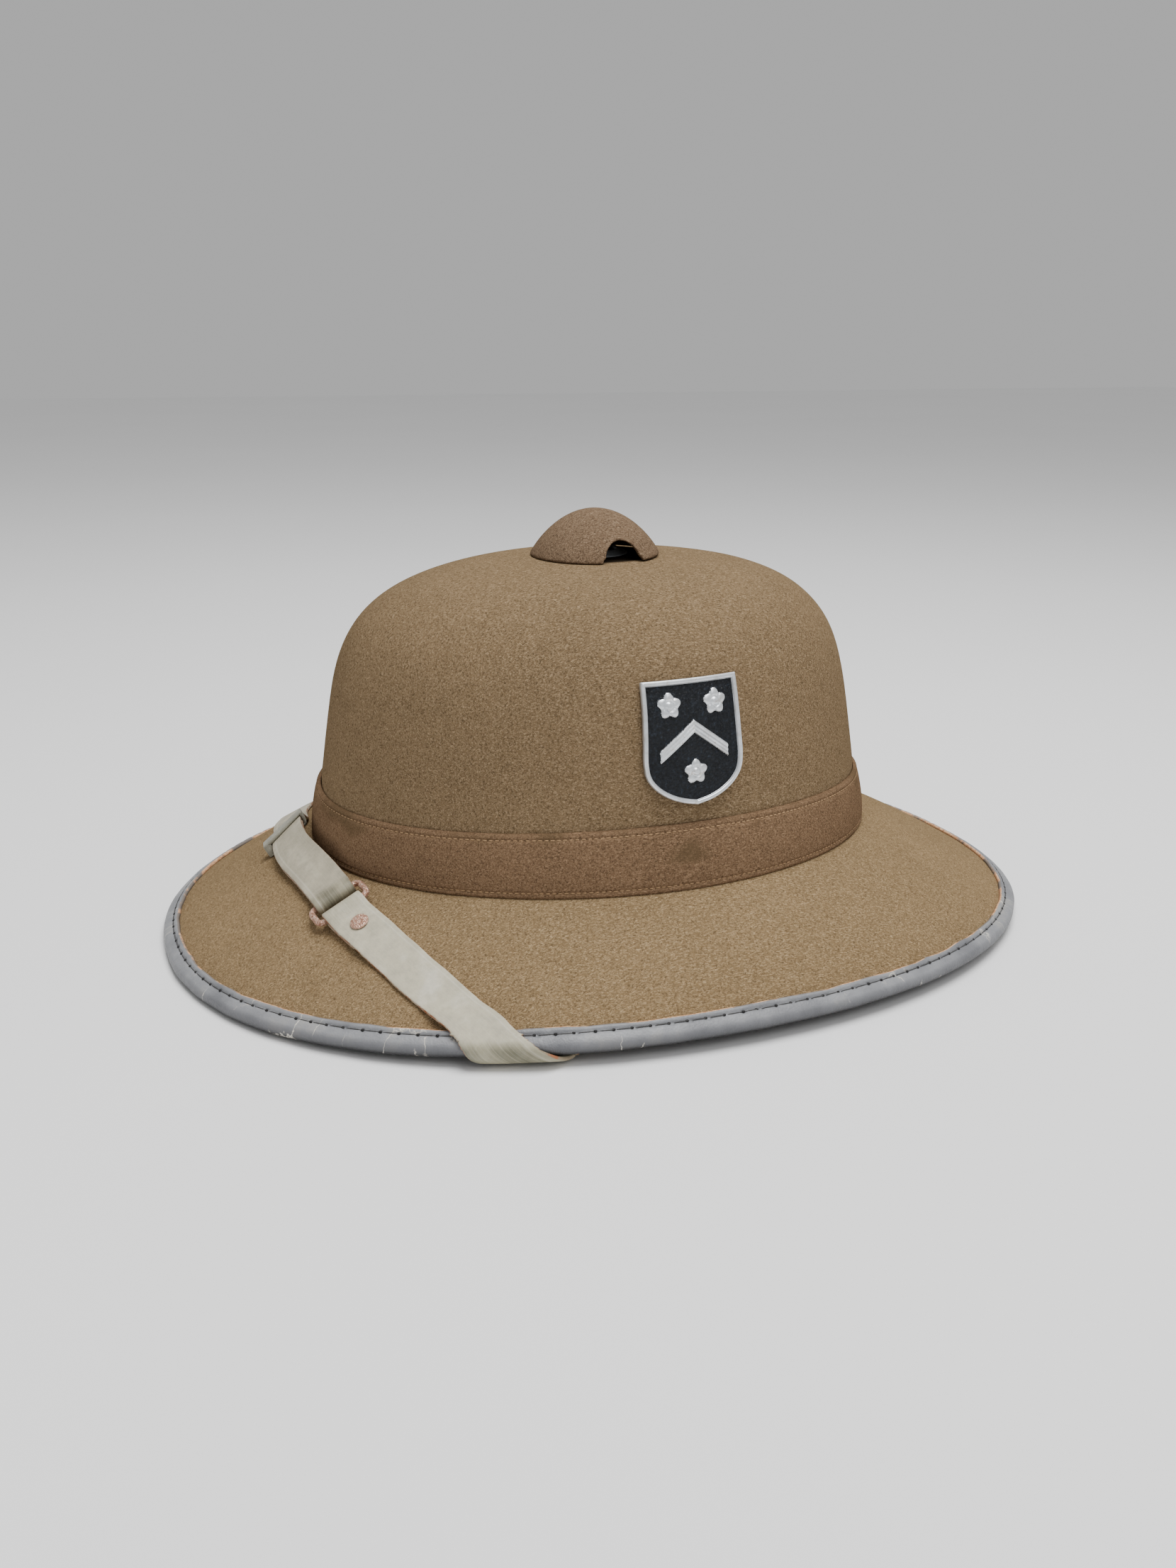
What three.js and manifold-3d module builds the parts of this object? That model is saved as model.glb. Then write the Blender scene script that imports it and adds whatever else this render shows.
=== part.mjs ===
// Pith helmet of pressed felt, in millimetres.
// +Z is up, the front of the hat points to -Y and the badge sits on the +X side.
// The origin is on the resting plane, under the middle of the overall box.
import * as THREE from "three";
import Module from "manifold-3d";

const wasm = await Module();
wasm.setup();

// Fits
const GAP = 0.3;

// Brim
const BRIM_LENGTH = 337;
const BRIM_WIDTH = 267.6;
const BRIM_WALL = 3;
const BRIM_SQUARENESS = 2.16;
const BRIM_BULGE = 1.5;
const RIM_RISE = 4.6;
const REST_FLAT = 0.45;
const SEAT_HEIGHT = 37;
const SEAT_SADDLE = 2.2;

// Crown
const CROWN_LENGTH = 208.8;
const CROWN_WIDTH = 172.6;
const CROWN_WALL = 3;
const CROWN_FORWARD = 4.05;
const SHOULDER_HEIGHT = 56.9;
const CROWN_RISE = 80.1;
const CROWN_FULLNESS = 5.25;
const CROWN_ROUNDNESS = 2.83;
const CROWN_TAPER = 0.118;
const CROWN_TILT = 0.018;
const CROWN_LEAN = 1;
const FOOT_FLARE_FRONT = 0.5;
const FOOT_FLARE_SIDE = 1.1;
const FOOT_DROP = 2.45;

// Collar of the brim and band over it
const COLLAR_WALL = 1.8;
const COLLAR_HEIGHT = 9;
const BAND_WALL = 1.3;
const BAND_TOP = 57.2;
const BAND_SADDLE = 2.2;
const BAND_FLARE = 0.15;
const BAND_FLARE_SIDE = 1.5;

// Binding of the rim
const BINDING_WALL = 1.3;
const BINDING_LEG = 4.7;

// Vent
const CAP_DIAMETER = 48.4;
const CAP_HEIGHT = 16.5;
const CAP_WALL = 2.6;
const CAP_BELL = 1.7;
const CAP_BACK = 1.2;
const ARCH_WIDTH = 13.6;
const ARCH_HEIGHT = 8.8;
const ARCH_BACK = 2.3;
const HOLE_DIAMETER = 18;
const EYELET_FLANGE = 3.4;
const EYELET_WALL = 1;

// Badge
const BADGE_WIDTH = 35.8;
const BADGE_HEIGHT = 41;
const BADGE_FIELD = 1.2;
const BADGE_RIM_HEIGHT = 2.1;
const BADGE_RIM_WIDTH = 1.6;
const BADGE_RELIEF = 0.8;
const BADGE_Y = -1.9;
const BADGE_Z = 86.4;
const BADGE_TURN = 0.8;
const BADGE_STAND = 0.6;

// Chin strap
const STRAP_WIDTH = 14.8;
const STRAP_WALL = 1.4;
const STRAP_LEAN = 3;
const STRAP_STAND = 0.25;
const ANCHOR_RISE = 16;
const ANCHOR_HEAD = 8;
const ANCHOR_SHANK = 2.6;
const RING_WIRE = 2.2;
const RING_LENGTH = 10.5;
const RING_CORNER = 2;
const RIVET_DISTANCE = 10.3;
const RIVET_HEAD = 6.4;
const RIVET_SHANK = 2.5;
const TAIL_LENGTH = 16;
const CLIP_DISTANCE = 63.5;
const CLIP_LENGTH = 4.5;
const CLIP_WALL = 0.8;
const CLIP_TAB = 2.2;

// How finely the round shapes are cut into flat faces
const AROUND = 52;
const ACROSS = 3;

// Sizes that follow from the ones above
const ROLL = BRIM_WALL / 2 + GAP + BINDING_WALL;
const RIM_Z = ROLL - REST_FLAT;
const CROWN_Y = -CROWN_FORWARD;
const BAND_OUT_TOP = GAP + BAND_WALL;
const RING_INNER = STRAP_WIDTH + 2 * GAP + 1.6;
const RING_REACH = (RING_LENGTH - RING_WIRE) / 2;
const WRAP_INNER = RING_WIRE / 2 + GAP;
const BAR_LIFT = GAP + STRAP_WALL + WRAP_INNER;

// Chin strap from the ring over the rim and up the inner wall. Place runs 0 to 1 from the band to the rim,
// 1 to 2 round the rim, 2 to 3 under the brim and 3 to 4 up the inside of the crown.
const STRAP_ROWS = [
  { angle: 26.5, place: 0.125 },
  { angle: 34, place: 0.228 },
  { angle: 39, place: 0.31 },
  { angle: 44, place: 0.41 },
  { angle: 48, place: 0.515 },
  { angle: 52, place: 0.628 },
  { angle: 59, place: 0.85 },
  { angle: 63.2, place: 1 },
  { angle: 66.5, place: 1.5 },
  { angle: 69.5, place: 2 },
  { angle: 76, place: 2.3 },
  { angle: 82.5, place: 2.65 },
  { angle: 88, place: 3 },
  { angle: 88.5, place: 3.2 },
  { angle: 89, place: 4 },
];

// Front stretch of the long strap, between the ring and its mirror place.
const FRONT_ROWS = [
  { angle: 19, place: 0.04 },
  { angle: 10, place: 0 },
  { angle: 0, place: 0 },
  { angle: -10, place: 0 },
  { angle: -19, place: 0.04 },
];

// Shield outline: share of the height from the top and share of the half width.
const SHIELD_ROWS = [
  { down: 0, wide: 0.955 },
  { down: 0.22, wide: 0.965 },
  { down: 0.45, wide: 0.985 },
  { down: 0.64, wide: 1 },
  { down: 0.76, wide: 0.95 },
  { down: 0.85, wide: 0.8 },
  { down: 0.92, wide: 0.58 },
  { down: 0.97, wide: 0.31 },
];

const radians = THREE.MathUtils.degToRad;
const mix = THREE.MathUtils.lerp;
const ease = THREE.MathUtils.smoothstep;
const at = (x, y, z) => new THREE.Vector3(x, y, z);
const power = (value, exponent) => Math.sign(value) * Math.pow(Math.abs(value), exponent);
const along = (point, direction, length) => point.clone().addScaledVector(direction, length);

// Closed body from loops of points. Without tips the last loop joins the first, with tips the ends close on them.
function body(loops, tips) {
  const count = loops[0].length;
  const points = loops.flat();
  const faces = [];
  const last = tips ? loops.length - 1 : loops.length;
  for (let i = 0; i < last; i += 1) {
    const next = (i + 1) % loops.length;
    for (let j = 0; j < count; j += 1) {
      const k = (j + 1) % count;
      faces.push([i * count + j, next * count + j, next * count + k]);
      faces.push([i * count + j, next * count + k, i * count + k]);
    }
  }
  if (tips) {
    points.push(tips[0], tips[1]);
    const start = points.length - 2;
    const row = (loops.length - 1) * count;
    for (let j = 0; j < count; j += 1) {
      const k = (j + 1) % count;
      faces.push([start, j, k]);
      faces.push([start + 1, row + k, row + j]);
    }
  }
  let volume = 0;
  for (const [a, b, c] of faces) {
    volume += points[a].dot(points[b].clone().cross(points[c]));
  }
  const turned = volume > 0 ? faces : faces.map(([a, b, c]) => [a, c, b]);
  const geometry = new THREE.BufferGeometry().setFromPoints(points);
  geometry.setIndex(turned.flat());
  return geometry;
}

function toSolid(geometry) {
  const vertProperties = new Float32Array(geometry.attributes.position.array);
  const triVerts = new Uint32Array(geometry.index.array);
  return new wasm.Manifold(new wasm.Mesh({ numProp: 3, vertProperties, triVerts }));
}

function toGeometry(solid) {
  const mesh = solid.getMesh();
  const geometry = new THREE.BufferGeometry();
  geometry.setAttribute("position", new THREE.BufferAttribute(new Float32Array(mesh.vertProperties), 3));
  geometry.setIndex(new THREE.BufferAttribute(new Uint32Array(mesh.triVerts), 1));
  return geometry;
}

function cut(geometry, tools) {
  let solid = toSolid(geometry);
  for (const tool of tools) {
    solid = solid.subtract(toSolid(tool));
  }
  return toGeometry(solid);
}

function join(pieces) {
  let solid = toSolid(pieces[0]);
  for (const piece of pieces.slice(1)) {
    solid = solid.add(toSolid(piece));
  }
  return toGeometry(solid);
}

const middle = (points) =>
  points.reduce((sum, point) => sum.add(point), at(0, 0, 0)).divideScalar(points.length);

function around(section) {
  return body(Array.from({ length: AROUND }, (_, i) => section((i / AROUND) * Math.PI * 2)));
}

// Crown: rise is the share of the crown's rise above the shoulder, below zero it is the foot.
function crownRing(rise) {
  if (rise <= 0) {
    const down = (-rise * CROWN_RISE) / (SHOULDER_HEIGHT - SEAT_HEIGHT);
    return { a: CROWN_LENGTH / 2 + FOOT_FLARE_FRONT * down, b: CROWN_WIDTH / 2 + FOOT_FLARE_SIDE * down };
  }
  const inward = Math.pow(1 - Math.pow(Math.min(rise, 1), CROWN_FULLNESS), 1 / CROWN_ROUNDNESS);
  const share = (1 - CROWN_TAPER * rise) * inward;
  return { a: (CROWN_LENGTH / 2) * share, b: (CROWN_WIDTH / 2) * share };
}

function crownFace(angle, rise) {
  const ring = crownRing(rise);
  const upper = Math.max(rise, 0);
  const y = CROWN_Y - CROWN_LEAN * upper - ring.a * Math.cos(angle);
  const z = SHOULDER_HEIGHT + CROWN_RISE * rise + CROWN_TILT * (y - CROWN_Y) * upper;
  return at(ring.b * Math.sin(angle), y, z);
}

// Rise for an even turn of the profile, from 0 degrees at the shoulder to 90 degrees on top.
const riseOfTurn = (turn) => Math.pow(Math.sin(radians(turn)), 2 / CROWN_FULLNESS);

function crownOut(angle, rise) {
  const step = 0.02;
  const reach = rise > 0.9 ? (1 - rise) * 0.3 : 0.02;
  const side = crownFace(angle + step, rise).sub(crownFace(angle - step, rise));
  const upward = crownFace(angle, rise + reach).sub(crownFace(angle, rise - reach));
  return side.cross(upward).normalize();
}

const crownAt = (angle, rise, out) => along(crownFace(angle, rise), crownOut(angle, rise), out);
const crownAtHeight = (angle, z, out) => crownAt(angle, (z - SHOULDER_HEIGHT) / CROWN_RISE, out);

// Height of the crown's top face over a point of the plan.
function topHeight(x, y) {
  let low = 0.5;
  let high = 1;
  for (let i = 0; i < 40; i += 1) {
    const rise = (low + high) / 2;
    const ring = crownRing(rise);
    const inside = Math.hypot(x / ring.b, (y - CROWN_Y + CROWN_LEAN * rise) / ring.a) < 1;
    if (inside) {
      low = rise;
    } else {
      high = rise;
    }
  }
  return SHOULDER_HEIGHT + CROWN_RISE * low + CROWN_TILT * (y - CROWN_Y) * low;
}

const TOP_Y = CROWN_Y - CROWN_LEAN + CAP_BACK;
const topPoint = (angle, radius, lift) => {
  const x = radius * Math.sin(angle);
  const y = TOP_Y - radius * Math.cos(angle);
  return at(x, y, topHeight(x, y) + lift);
};

// Brim: share runs from 0 at the foot of the crown to 1 at the middle of the rolled rim.
const seatAt = (angle) => SEAT_HEIGHT - SEAT_SADDLE * Math.cos(2 * angle);

function brimFoot(angle) {
  const foot = crownRing((SEAT_HEIGHT - SHOULDER_HEIGHT) / CROWN_RISE);
  return at(foot.b * Math.sin(angle), CROWN_Y - foot.a * Math.cos(angle), seatAt(angle));
}

function brimRim(angle) {
  const x = (BRIM_WIDTH / 2 - ROLL) * power(Math.sin(angle), 2 / BRIM_SQUARENESS);
  const y = -(BRIM_LENGTH / 2 - ROLL) * power(Math.cos(angle), 2 / BRIM_SQUARENESS);
  return at(x, y, RIM_Z + RIM_RISE * Math.pow(Math.sin(angle), 2));
}

function brimMiddle(angle, share) {
  const point = brimFoot(angle).lerp(brimRim(angle), share);
  point.z += BRIM_BULGE * 4 * share * (1 - share);
  return point;
}

function brimUp(angle, share) {
  const step = 0.01;
  const side = brimMiddle(angle + step, share).sub(brimMiddle(angle - step, share));
  const outward = brimMiddle(angle, share + step).sub(brimMiddle(angle, share - step));
  return outward.cross(side).normalize();
}

const brimAt = (angle, share, lift) => along(brimMiddle(angle, share), brimUp(angle, share), lift);

// Plan direction from the foot to the rim, and how far apart they are.
function brimPlan(angle) {
  const plan = brimRim(angle).sub(brimFoot(angle)).setZ(0);
  return { reach: plan.length(), out: plan.normalize() };
}

// Share at which a point lifted off the brim stands a given distance out from the crown.
function brimShare(angle, out, lift) {
  const plan = brimPlan(angle);
  return (out - lift * brimUp(angle, 0.05).dot(plan.out)) / plan.reach;
}

// Frame of the rolled rim: outward along the brim, and up square to it.
function rimFrame(angle) {
  const up = brimUp(angle, 1);
  const step = brimMiddle(angle, 1).sub(brimMiddle(angle, 0.99));
  const outward = step.addScaledVector(up, -step.dot(up)).normalize();
  return { centre: brimRim(angle), up, outward };
}

function rimAt(frame, out, up) {
  return frame.centre.clone().addScaledVector(frame.outward, out).addScaledVector(frame.up, up);
}

const rimTurn = (frame, radius, degrees) =>
  rimAt(frame, radius * Math.cos(radians(degrees)), radius * Math.sin(radians(degrees)));

// Crown shell with a rounded foot and a round vent hole.
const footCentre = (angle) => seatAt(angle) - FOOT_DROP + CROWN_WALL / 2;
const footTurn = (angle, degrees, radius) =>
  crownAtHeight(
    angle,
    footCentre(angle) - radius * Math.sin(radians(degrees)),
    -CROWN_WALL / 2 - radius * Math.cos(radians(degrees)),
  );

function crownSection(angle) {
  const outer = [1.5, 8, 16, 25, 34, 44, 54, 64, 74, 82];
  const inner = [78, 66, 53, 40, 28, 17, 6];
  const shoulderShare = 0.02;
  return [
    footTurn(angle, 180, CROWN_WALL / 2),
    crownAt(angle, shoulderShare, 0),
    ...outer.map((turn) => crownAt(angle, riseOfTurn(turn), 0)),
    topPoint(angle, HOLE_DIAMETER / 2, 0),
    topPoint(angle, HOLE_DIAMETER / 2, -CROWN_WALL),
    ...inner.map((turn) => crownAt(angle, riseOfTurn(turn), -CROWN_WALL)),
    crownAt(angle, shoulderShare, -CROWN_WALL),
    footTurn(angle, 0, CROWN_WALL / 2),
    footTurn(angle, 55, CROWN_WALL / 2),
    footTurn(angle, 120, CROWN_WALL / 2),
  ];
}

function brimSection(angle) {
  const half = BRIM_WALL / 2;
  const frame = rimFrame(angle);
  const seat = seatAt(angle);
  const root = brimAt(angle, brimShare(angle, GAP + 0.15, -half), -half);
  return [
    crownAtHeight(angle, root.z + 0.5, GAP),
    crownAtHeight(angle, seat + COLLAR_HEIGHT, GAP),
    crownAtHeight(angle, seat + COLLAR_HEIGHT, GAP + COLLAR_WALL * 0.6),
    brimAt(angle, brimShare(angle, GAP + COLLAR_WALL, half), half),
    brimAt(angle, 0.28, half),
    brimAt(angle, 0.62, half),
    rimAt(frame, 0, half),
    rimTurn(frame, half, 45),
    rimTurn(frame, half, 0),
    rimTurn(frame, half, -45),
    rimAt(frame, 0, -half),
    brimAt(angle, 0.62, -half),
    brimAt(angle, 0.28, -half),
    root,
  ];
}

// How far the lower edge of the band stands out from the crown.
function bandLow(angle) {
  const flare = mix(BAND_FLARE, BAND_FLARE_SIDE, Math.pow(Math.sin(angle), 2));
  return 2 * GAP + COLLAR_WALL + BAND_WALL + flare;
}

function bandSection(angle) {
  const lift = BRIM_WALL / 2 + GAP;
  const low = bandLow(angle);
  const lowOuter = brimAt(angle, brimShare(angle, low, lift), lift);
  const lowInner = brimAt(angle, brimShare(angle, low - BAND_WALL, lift), lift);
  const top = BAND_TOP - BAND_SADDLE * Math.cos(2 * angle);
  const face = (share, back) => {
    const out = mix(low, BAND_OUT_TOP, Math.pow(share, 1.8)) - back;
    return crownAtHeight(angle, mix(lowOuter.z, top, share), out);
  };
  return [
    lowInner,
    lowOuter,
    face(0.3, 0),
    face(0.62, 0),
    face(0.97, 0.1),
    face(1, 0.45),
    face(1, BAND_WALL),
    face(0.62, BAND_WALL),
    face(0.3, BAND_WALL),
  ];
}

function bindingSection(angle) {
  const frame = rimFrame(angle);
  const inner = BRIM_WALL / 2 + GAP;
  return [
    rimAt(frame, -BINDING_LEG, ROLL - 0.35),
    rimAt(frame, -BINDING_LEG + 1, ROLL),
    ...[90, 60, 30, 0, -30, -60, -90].map((turn) => rimTurn(frame, ROLL, turn)),
    rimAt(frame, -BINDING_LEG, -ROLL),
    rimAt(frame, -BINDING_LEG, -inner),
    ...[-90, -45, 0, 45, 90].map((turn) => rimTurn(frame, inner, turn)),
    rimAt(frame, -BINDING_LEG, inner),
  ];
}

// Box between two corners, as a cutting tool.
function block(low, high) {
  const loop = (z) => [at(low.x, low.y, z), at(high.x, low.y, z), at(high.x, high.y, z), at(low.x, high.y, z)];
  const loops = [loop(low.z), loop(high.z)];
  return body(loops, loops.map(middle));
}

function makeBinding() {
  const reach = BRIM_LENGTH;
  return cut(around(bindingSection), [block(at(-reach, -reach, -10), at(reach, reach, 0))]);
}

// Felt dome over the vent with an arch through both sides.
function capPoint(angle, turn, inset) {
  const radius = CAP_DIAMETER / 2 - inset;
  const foot = topPoint(angle, CAP_DIAMETER / 2, GAP).z;
  const top = topHeight(0, TOP_Y) + GAP + CAP_HEIGHT - inset;
  const share = Math.pow(Math.sin(radians(turn)), CAP_BELL);
  const wide = radius * Math.cos(radians(turn));
  return at(wide * Math.sin(angle), TOP_Y - wide * Math.cos(angle), mix(foot, top, share));
}

function makeCap() {
  const segments = 30;
  const loop = (turn, inset) =>
    Array.from({ length: segments }, (_, i) => capPoint((i / segments) * Math.PI * 2, turn, inset));
  const shell = body(
    [
      ...[78, 62, 47, 33, 18, 0].map((turn) => loop(turn, 0)),
      loop(0, CAP_WALL),
      ...[20, 38, 56, 75].map((turn) => loop(turn, CAP_WALL)),
    ],
    [capPoint(0, 90, 0), capPoint(0, 90, CAP_WALL)],
  );
  const base = topHeight(0, TOP_Y) + GAP;
  const side = base + ARCH_HEIGHT - ARCH_WIDTH / 2;
  const outline = [{ y: -ARCH_WIDTH / 2, z: base - 5 }];
  for (let turn = 180; turn >= 0; turn -= 22.5) {
    outline.push({
      y: (ARCH_WIDTH / 2) * Math.cos(radians(turn)),
      z: side + (ARCH_WIDTH / 2) * Math.sin(radians(turn)),
    });
  }
  outline.push({ y: ARCH_WIDTH / 2, z: base - 5 });
  const loops = [-CAP_DIAMETER, CAP_DIAMETER].map((x) => outline.map((p) => at(x, TOP_Y + ARCH_BACK + p.y, p.z)));
  return cut(shell, [body(loops, loops.map(middle))]);
}

function makeEyelet() {
  const segments = 26;
  const outer = HOLE_DIAMETER / 2 - GAP;
  const section = (angle) => [
    topPoint(angle, outer - EYELET_WALL, -CROWN_WALL - GAP),
    topPoint(angle, outer, -CROWN_WALL - GAP),
    topPoint(angle, outer, GAP),
    topPoint(angle, outer + EYELET_FLANGE, GAP),
    topPoint(angle, outer + EYELET_FLANGE, GAP + EYELET_WALL * 0.6),
    topPoint(angle, outer, GAP + EYELET_WALL),
    topPoint(angle, outer - EYELET_WALL, GAP + EYELET_WALL * 0.6),
  ];
  return body(Array.from({ length: segments }, (_, i) => section((i / segments) * Math.PI * 2)));
}

// Badge: right and up on the side of the crown, out square to it.
function onSide(right, up, out) {
  const turn = radians(BADGE_TURN);
  const y = BADGE_Y + right * Math.cos(turn) - up * Math.sin(turn);
  const z = BADGE_Z + right * Math.sin(turn) + up * Math.cos(turn);
  const rise = (z - SHOULDER_HEIGHT - CROWN_TILT * (y - CROWN_Y) * 0.4) / CROWN_RISE;
  const ring = crownRing(rise);
  const angle = Math.acos((CROWN_Y - CROWN_LEAN * rise - y) / ring.a);
  return crownAt(angle, rise, BADGE_STAND + out);
}

function shieldOutline() {
  const side = SHIELD_ROWS.map((row) => ({
    right: (row.wide * BADGE_WIDTH) / 2,
    up: BADGE_HEIGHT * (0.5 - row.down),
  }));
  const across = [0.5, 0, -0.5].map((share) => ({ right: share * side[0].right, up: side[0].up }));
  const left = side.map((p) => ({ right: -p.right, up: p.up }));
  return [...across, ...left, { right: 0, up: -BADGE_HEIGHT / 2 }, ...side.slice().reverse()];
}

// Moves an outline inwards by a distance.
function inset(outline, distance) {
  const count = outline.length;
  return outline.map((point, i) => {
    const before = outline[(i + count - 1) % count];
    const after = outline[(i + 1) % count];
    const inward = [before, after].map((end, side) => {
      const run = { right: end.right - point.right, up: end.up - point.up };
      const length = Math.hypot(run.right, run.up) * (side === 0 ? 1 : -1);
      return { right: run.up / length, up: -run.right / length };
    });
    const right = inward[0].right + inward[1].right;
    const up = inward[0].up + inward[1].up;
    const square = (right * right + up * up) / 2;
    return { right: point.right + (right / square) * distance, up: point.up + (up / square) * distance };
  });
}

const shrink = (outline, share) => outline.map((p) => ({ right: p.right * share, up: p.up * share }));
const raise = (outline, out) => outline.map((p) => onSide(p.right, p.up, out));

function rosette(right, up) {
  const radius = 4;
  const loop = (share, out, petal) =>
    Array.from({ length: 15 }, (_, i) => {
      const turn = (i / 15) * Math.PI * 2;
      const reach = radius * share * (1 + petal * Math.cos(5 * turn));
      return onSide(right + reach * Math.sin(turn), up + reach * Math.cos(turn), out);
    });
  const high = BADGE_FIELD + BADGE_RELIEF;
  return body(
    [
      loop(0.9, BADGE_FIELD - 0.3, 0.13),
      loop(0.88, BADGE_FIELD + BADGE_RELIEF * 0.6, 0.13),
      loop(0.62, high, 0.15),
      loop(0.34, BADGE_FIELD + BADGE_RELIEF * 0.45, 0),
      loop(0.2, high, 0),
    ],
    [onSide(right, up, BADGE_FIELD - 0.3), onSide(right, up, high + 0.1)],
  );
}

function chevron() {
  const half = 2.2;
  const low = BADGE_FIELD - 0.3;
  const high = BADGE_FIELD + BADGE_RELIEF;
  const loop = (right) => {
    const up = 5.5 - Math.abs(right) * 0.75;
    return [
      onSide(right, up - half, low),
      onSide(right, up + half, low),
      onSide(right, up + half, high - 0.35),
      onSide(right, up + half - 0.5, high),
      onSide(right, up - half + 0.5, high),
      onSide(right, up - half, high - 0.35),
    ];
  };
  const loops = [-12, -6, 0, 6, 12].map(loop);
  return body(loops, [middle(loops[0]), middle(loops.at(-1))]);
}

function makeBadge() {
  const outline = shieldOutline();
  const rim = inset(outline, BADGE_RIM_WIDTH);
  const plate = body(
    [
      raise(shrink(rim, 0.5), 0),
      raise(outline, 0),
      raise(outline, BADGE_RIM_HEIGHT - 0.5),
      raise(inset(outline, 0.45), BADGE_RIM_HEIGHT),
      raise(inset(outline, BADGE_RIM_WIDTH - 0.4), BADGE_RIM_HEIGHT),
      raise(rim, BADGE_FIELD),
      raise(shrink(rim, 0.5), BADGE_FIELD),
    ],
    [onSide(0, 0, 0), onSide(0, 0, BADGE_FIELD)],
  );
  return join([plate, chevron(), rosette(-8.2, 12.6), rosette(8.2, 12.6), rosette(0, -9.4)]);
}

// Face the strap lies on, as a function of the angle and the place along the section.
function hugShare(angle) {
  return brimShare(angle, bandLow(angle) + GAP + STRAP_WIDTH * 0.46, BRIM_WALL / 2);
}

function strapFace(angle, place) {
  if (place <= 1) {
    const hug = hugShare(angle);
    const share = hug + place * (1 - hug);
    const inside = (1 - share) * brimFoot(angle).distanceTo(brimRim(angle));
    const over = 1 - ease(inside, BINDING_LEG + 0.5, BINDING_LEG + 9);
    return brimAt(angle, share, mix(BRIM_WALL / 2, ROLL + STRAP_STAND, over));
  }
  if (place <= 2) {
    return rimTurn(rimFrame(angle), ROLL + STRAP_STAND, 90 - 180 * (place - 1));
  }
  const up = brimUp(angle, 1);
  const slope = 90 - THREE.MathUtils.radToDeg(Math.acos(Math.min(up.z, 1)));
  const footRadius = CROWN_WALL / 2 + STRAP_STAND;
  if (place <= 3) {
    const start = rimTurn(rimFrame(angle), ROLL + STRAP_STAND, -90);
    return start.lerp(footTurn(angle, slope, footRadius), place - 2);
  }
  if (place <= 3.2) {
    return footTurn(angle, slope * (1 - (place - 3) / 0.2), footRadius);
  }
  const climb = (place - 3.2) / 0.8;
  return crownAtHeight(angle, footCentre(angle) + ANCHOR_RISE * climb, -CROWN_WALL - STRAP_STAND);
}

function strapUp(angle, place) {
  const step = 0.004;
  const side = strapFace(angle + step, place).sub(strapFace(angle - step, place));
  const outward = strapFace(angle, place + step).sub(strapFace(angle, place - step));
  return outward.cross(side).normalize();
}

// Places on the face beside their rough distances along it, so that a way bends evenly in millimetres.
function faceTable() {
  const across = brimFoot(Math.PI / 3).distanceTo(brimRim(Math.PI / 3));
  const steps = [across, Math.PI * ROLL, across, (Math.PI / 2) * CROWN_WALL, ANCHOR_RISE];
  const runs = [0];
  steps.forEach((step) => runs.push(runs.at(-1) + step));
  return { places: [0, 1, 2, 3, 3.2, 4], runs };
}

function lookUp(value, from, to) {
  let i = 1;
  while (i < from.length - 1 && value > from[i]) {
    i += 1;
  }
  return mix(to[i - 1], to[i], (value - from[i - 1]) / (from[i] - from[i - 1]));
}

// Strap way through table rows, measured in millimetres along the face from its first row.
function strapWay(rows) {
  const { places, runs } = faceTable();
  const toRun = (row) => new THREE.Vector2(radians(row.angle), lookUp(row.place, places, runs));
  const toPlace = (point) => new THREE.Vector2(point.x, lookUp(point.y, runs, places));
  const samples = new THREE.SplineCurve(rows.map(toRun)).getPoints(420).map(toPlace);
  const lengths = [0];
  for (let i = 1; i < samples.length; i += 1) {
    const step = strapFace(samples[i].x, samples[i].y).distanceTo(strapFace(samples[i - 1].x, samples[i - 1].y));
    lengths.push(lengths[i - 1] + step);
  }
  const total = lengths.at(-1);
  const spot = (distance) => {
    const wanted = Math.min(Math.max(distance, 0), total);
    let i = 1;
    while (i < lengths.length - 1 && lengths[i] < wanted) {
      i += 1;
    }
    const share = (wanted - lengths[i - 1]) / (lengths[i] - lengths[i - 1]);
    return samples[i - 1].clone().lerp(samples[i], share);
  };
  const distanceTo = (place) => lengths[samples.findIndex((sample) => sample.y >= place)];
  return { total, spot, distanceTo };
}

// Station on a strap way: its point, its directions and how the strap's width maps on the face.
function station(way, distance) {
  const step = 0.6;
  const here = way.spot(distance);
  const before = way.spot(distance - step);
  const after = way.spot(distance + step);
  const forward = strapFace(after.x, after.y).sub(strapFace(before.x, before.y)).normalize();
  const up = strapUp(here.x, here.y);
  const across = up.clone().cross(forward).normalize();
  const small = 0.003;
  const turning = strapFace(here.x + small, here.y).sub(strapFace(here.x - small, here.y)).divideScalar(2 * small);
  const moving = strapFace(here.x, here.y + small).sub(strapFace(here.x, here.y - small)).divideScalar(2 * small);
  const level = turning.clone().normalize().multiplyScalar(Math.sign(turning.dot(across)));
  const line = across.clone().lerp(level, ease(here.y, 0.6, 0.95)).normalize();
  line.divideScalar(line.dot(across));
  const tt = turning.dot(turning);
  const tm = turning.dot(moving);
  const mm = moving.dot(moving);
  const lt = line.dot(turning);
  const lm = line.dot(moving);
  const square = tt * mm - tm * tm;
  const slant = new THREE.Vector2((lt * mm - lm * tm) / square, (lm * tt - lt * tm) / square);
  return { here, point: strapFace(here.x, here.y), forward, up, across, slant };
}

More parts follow.
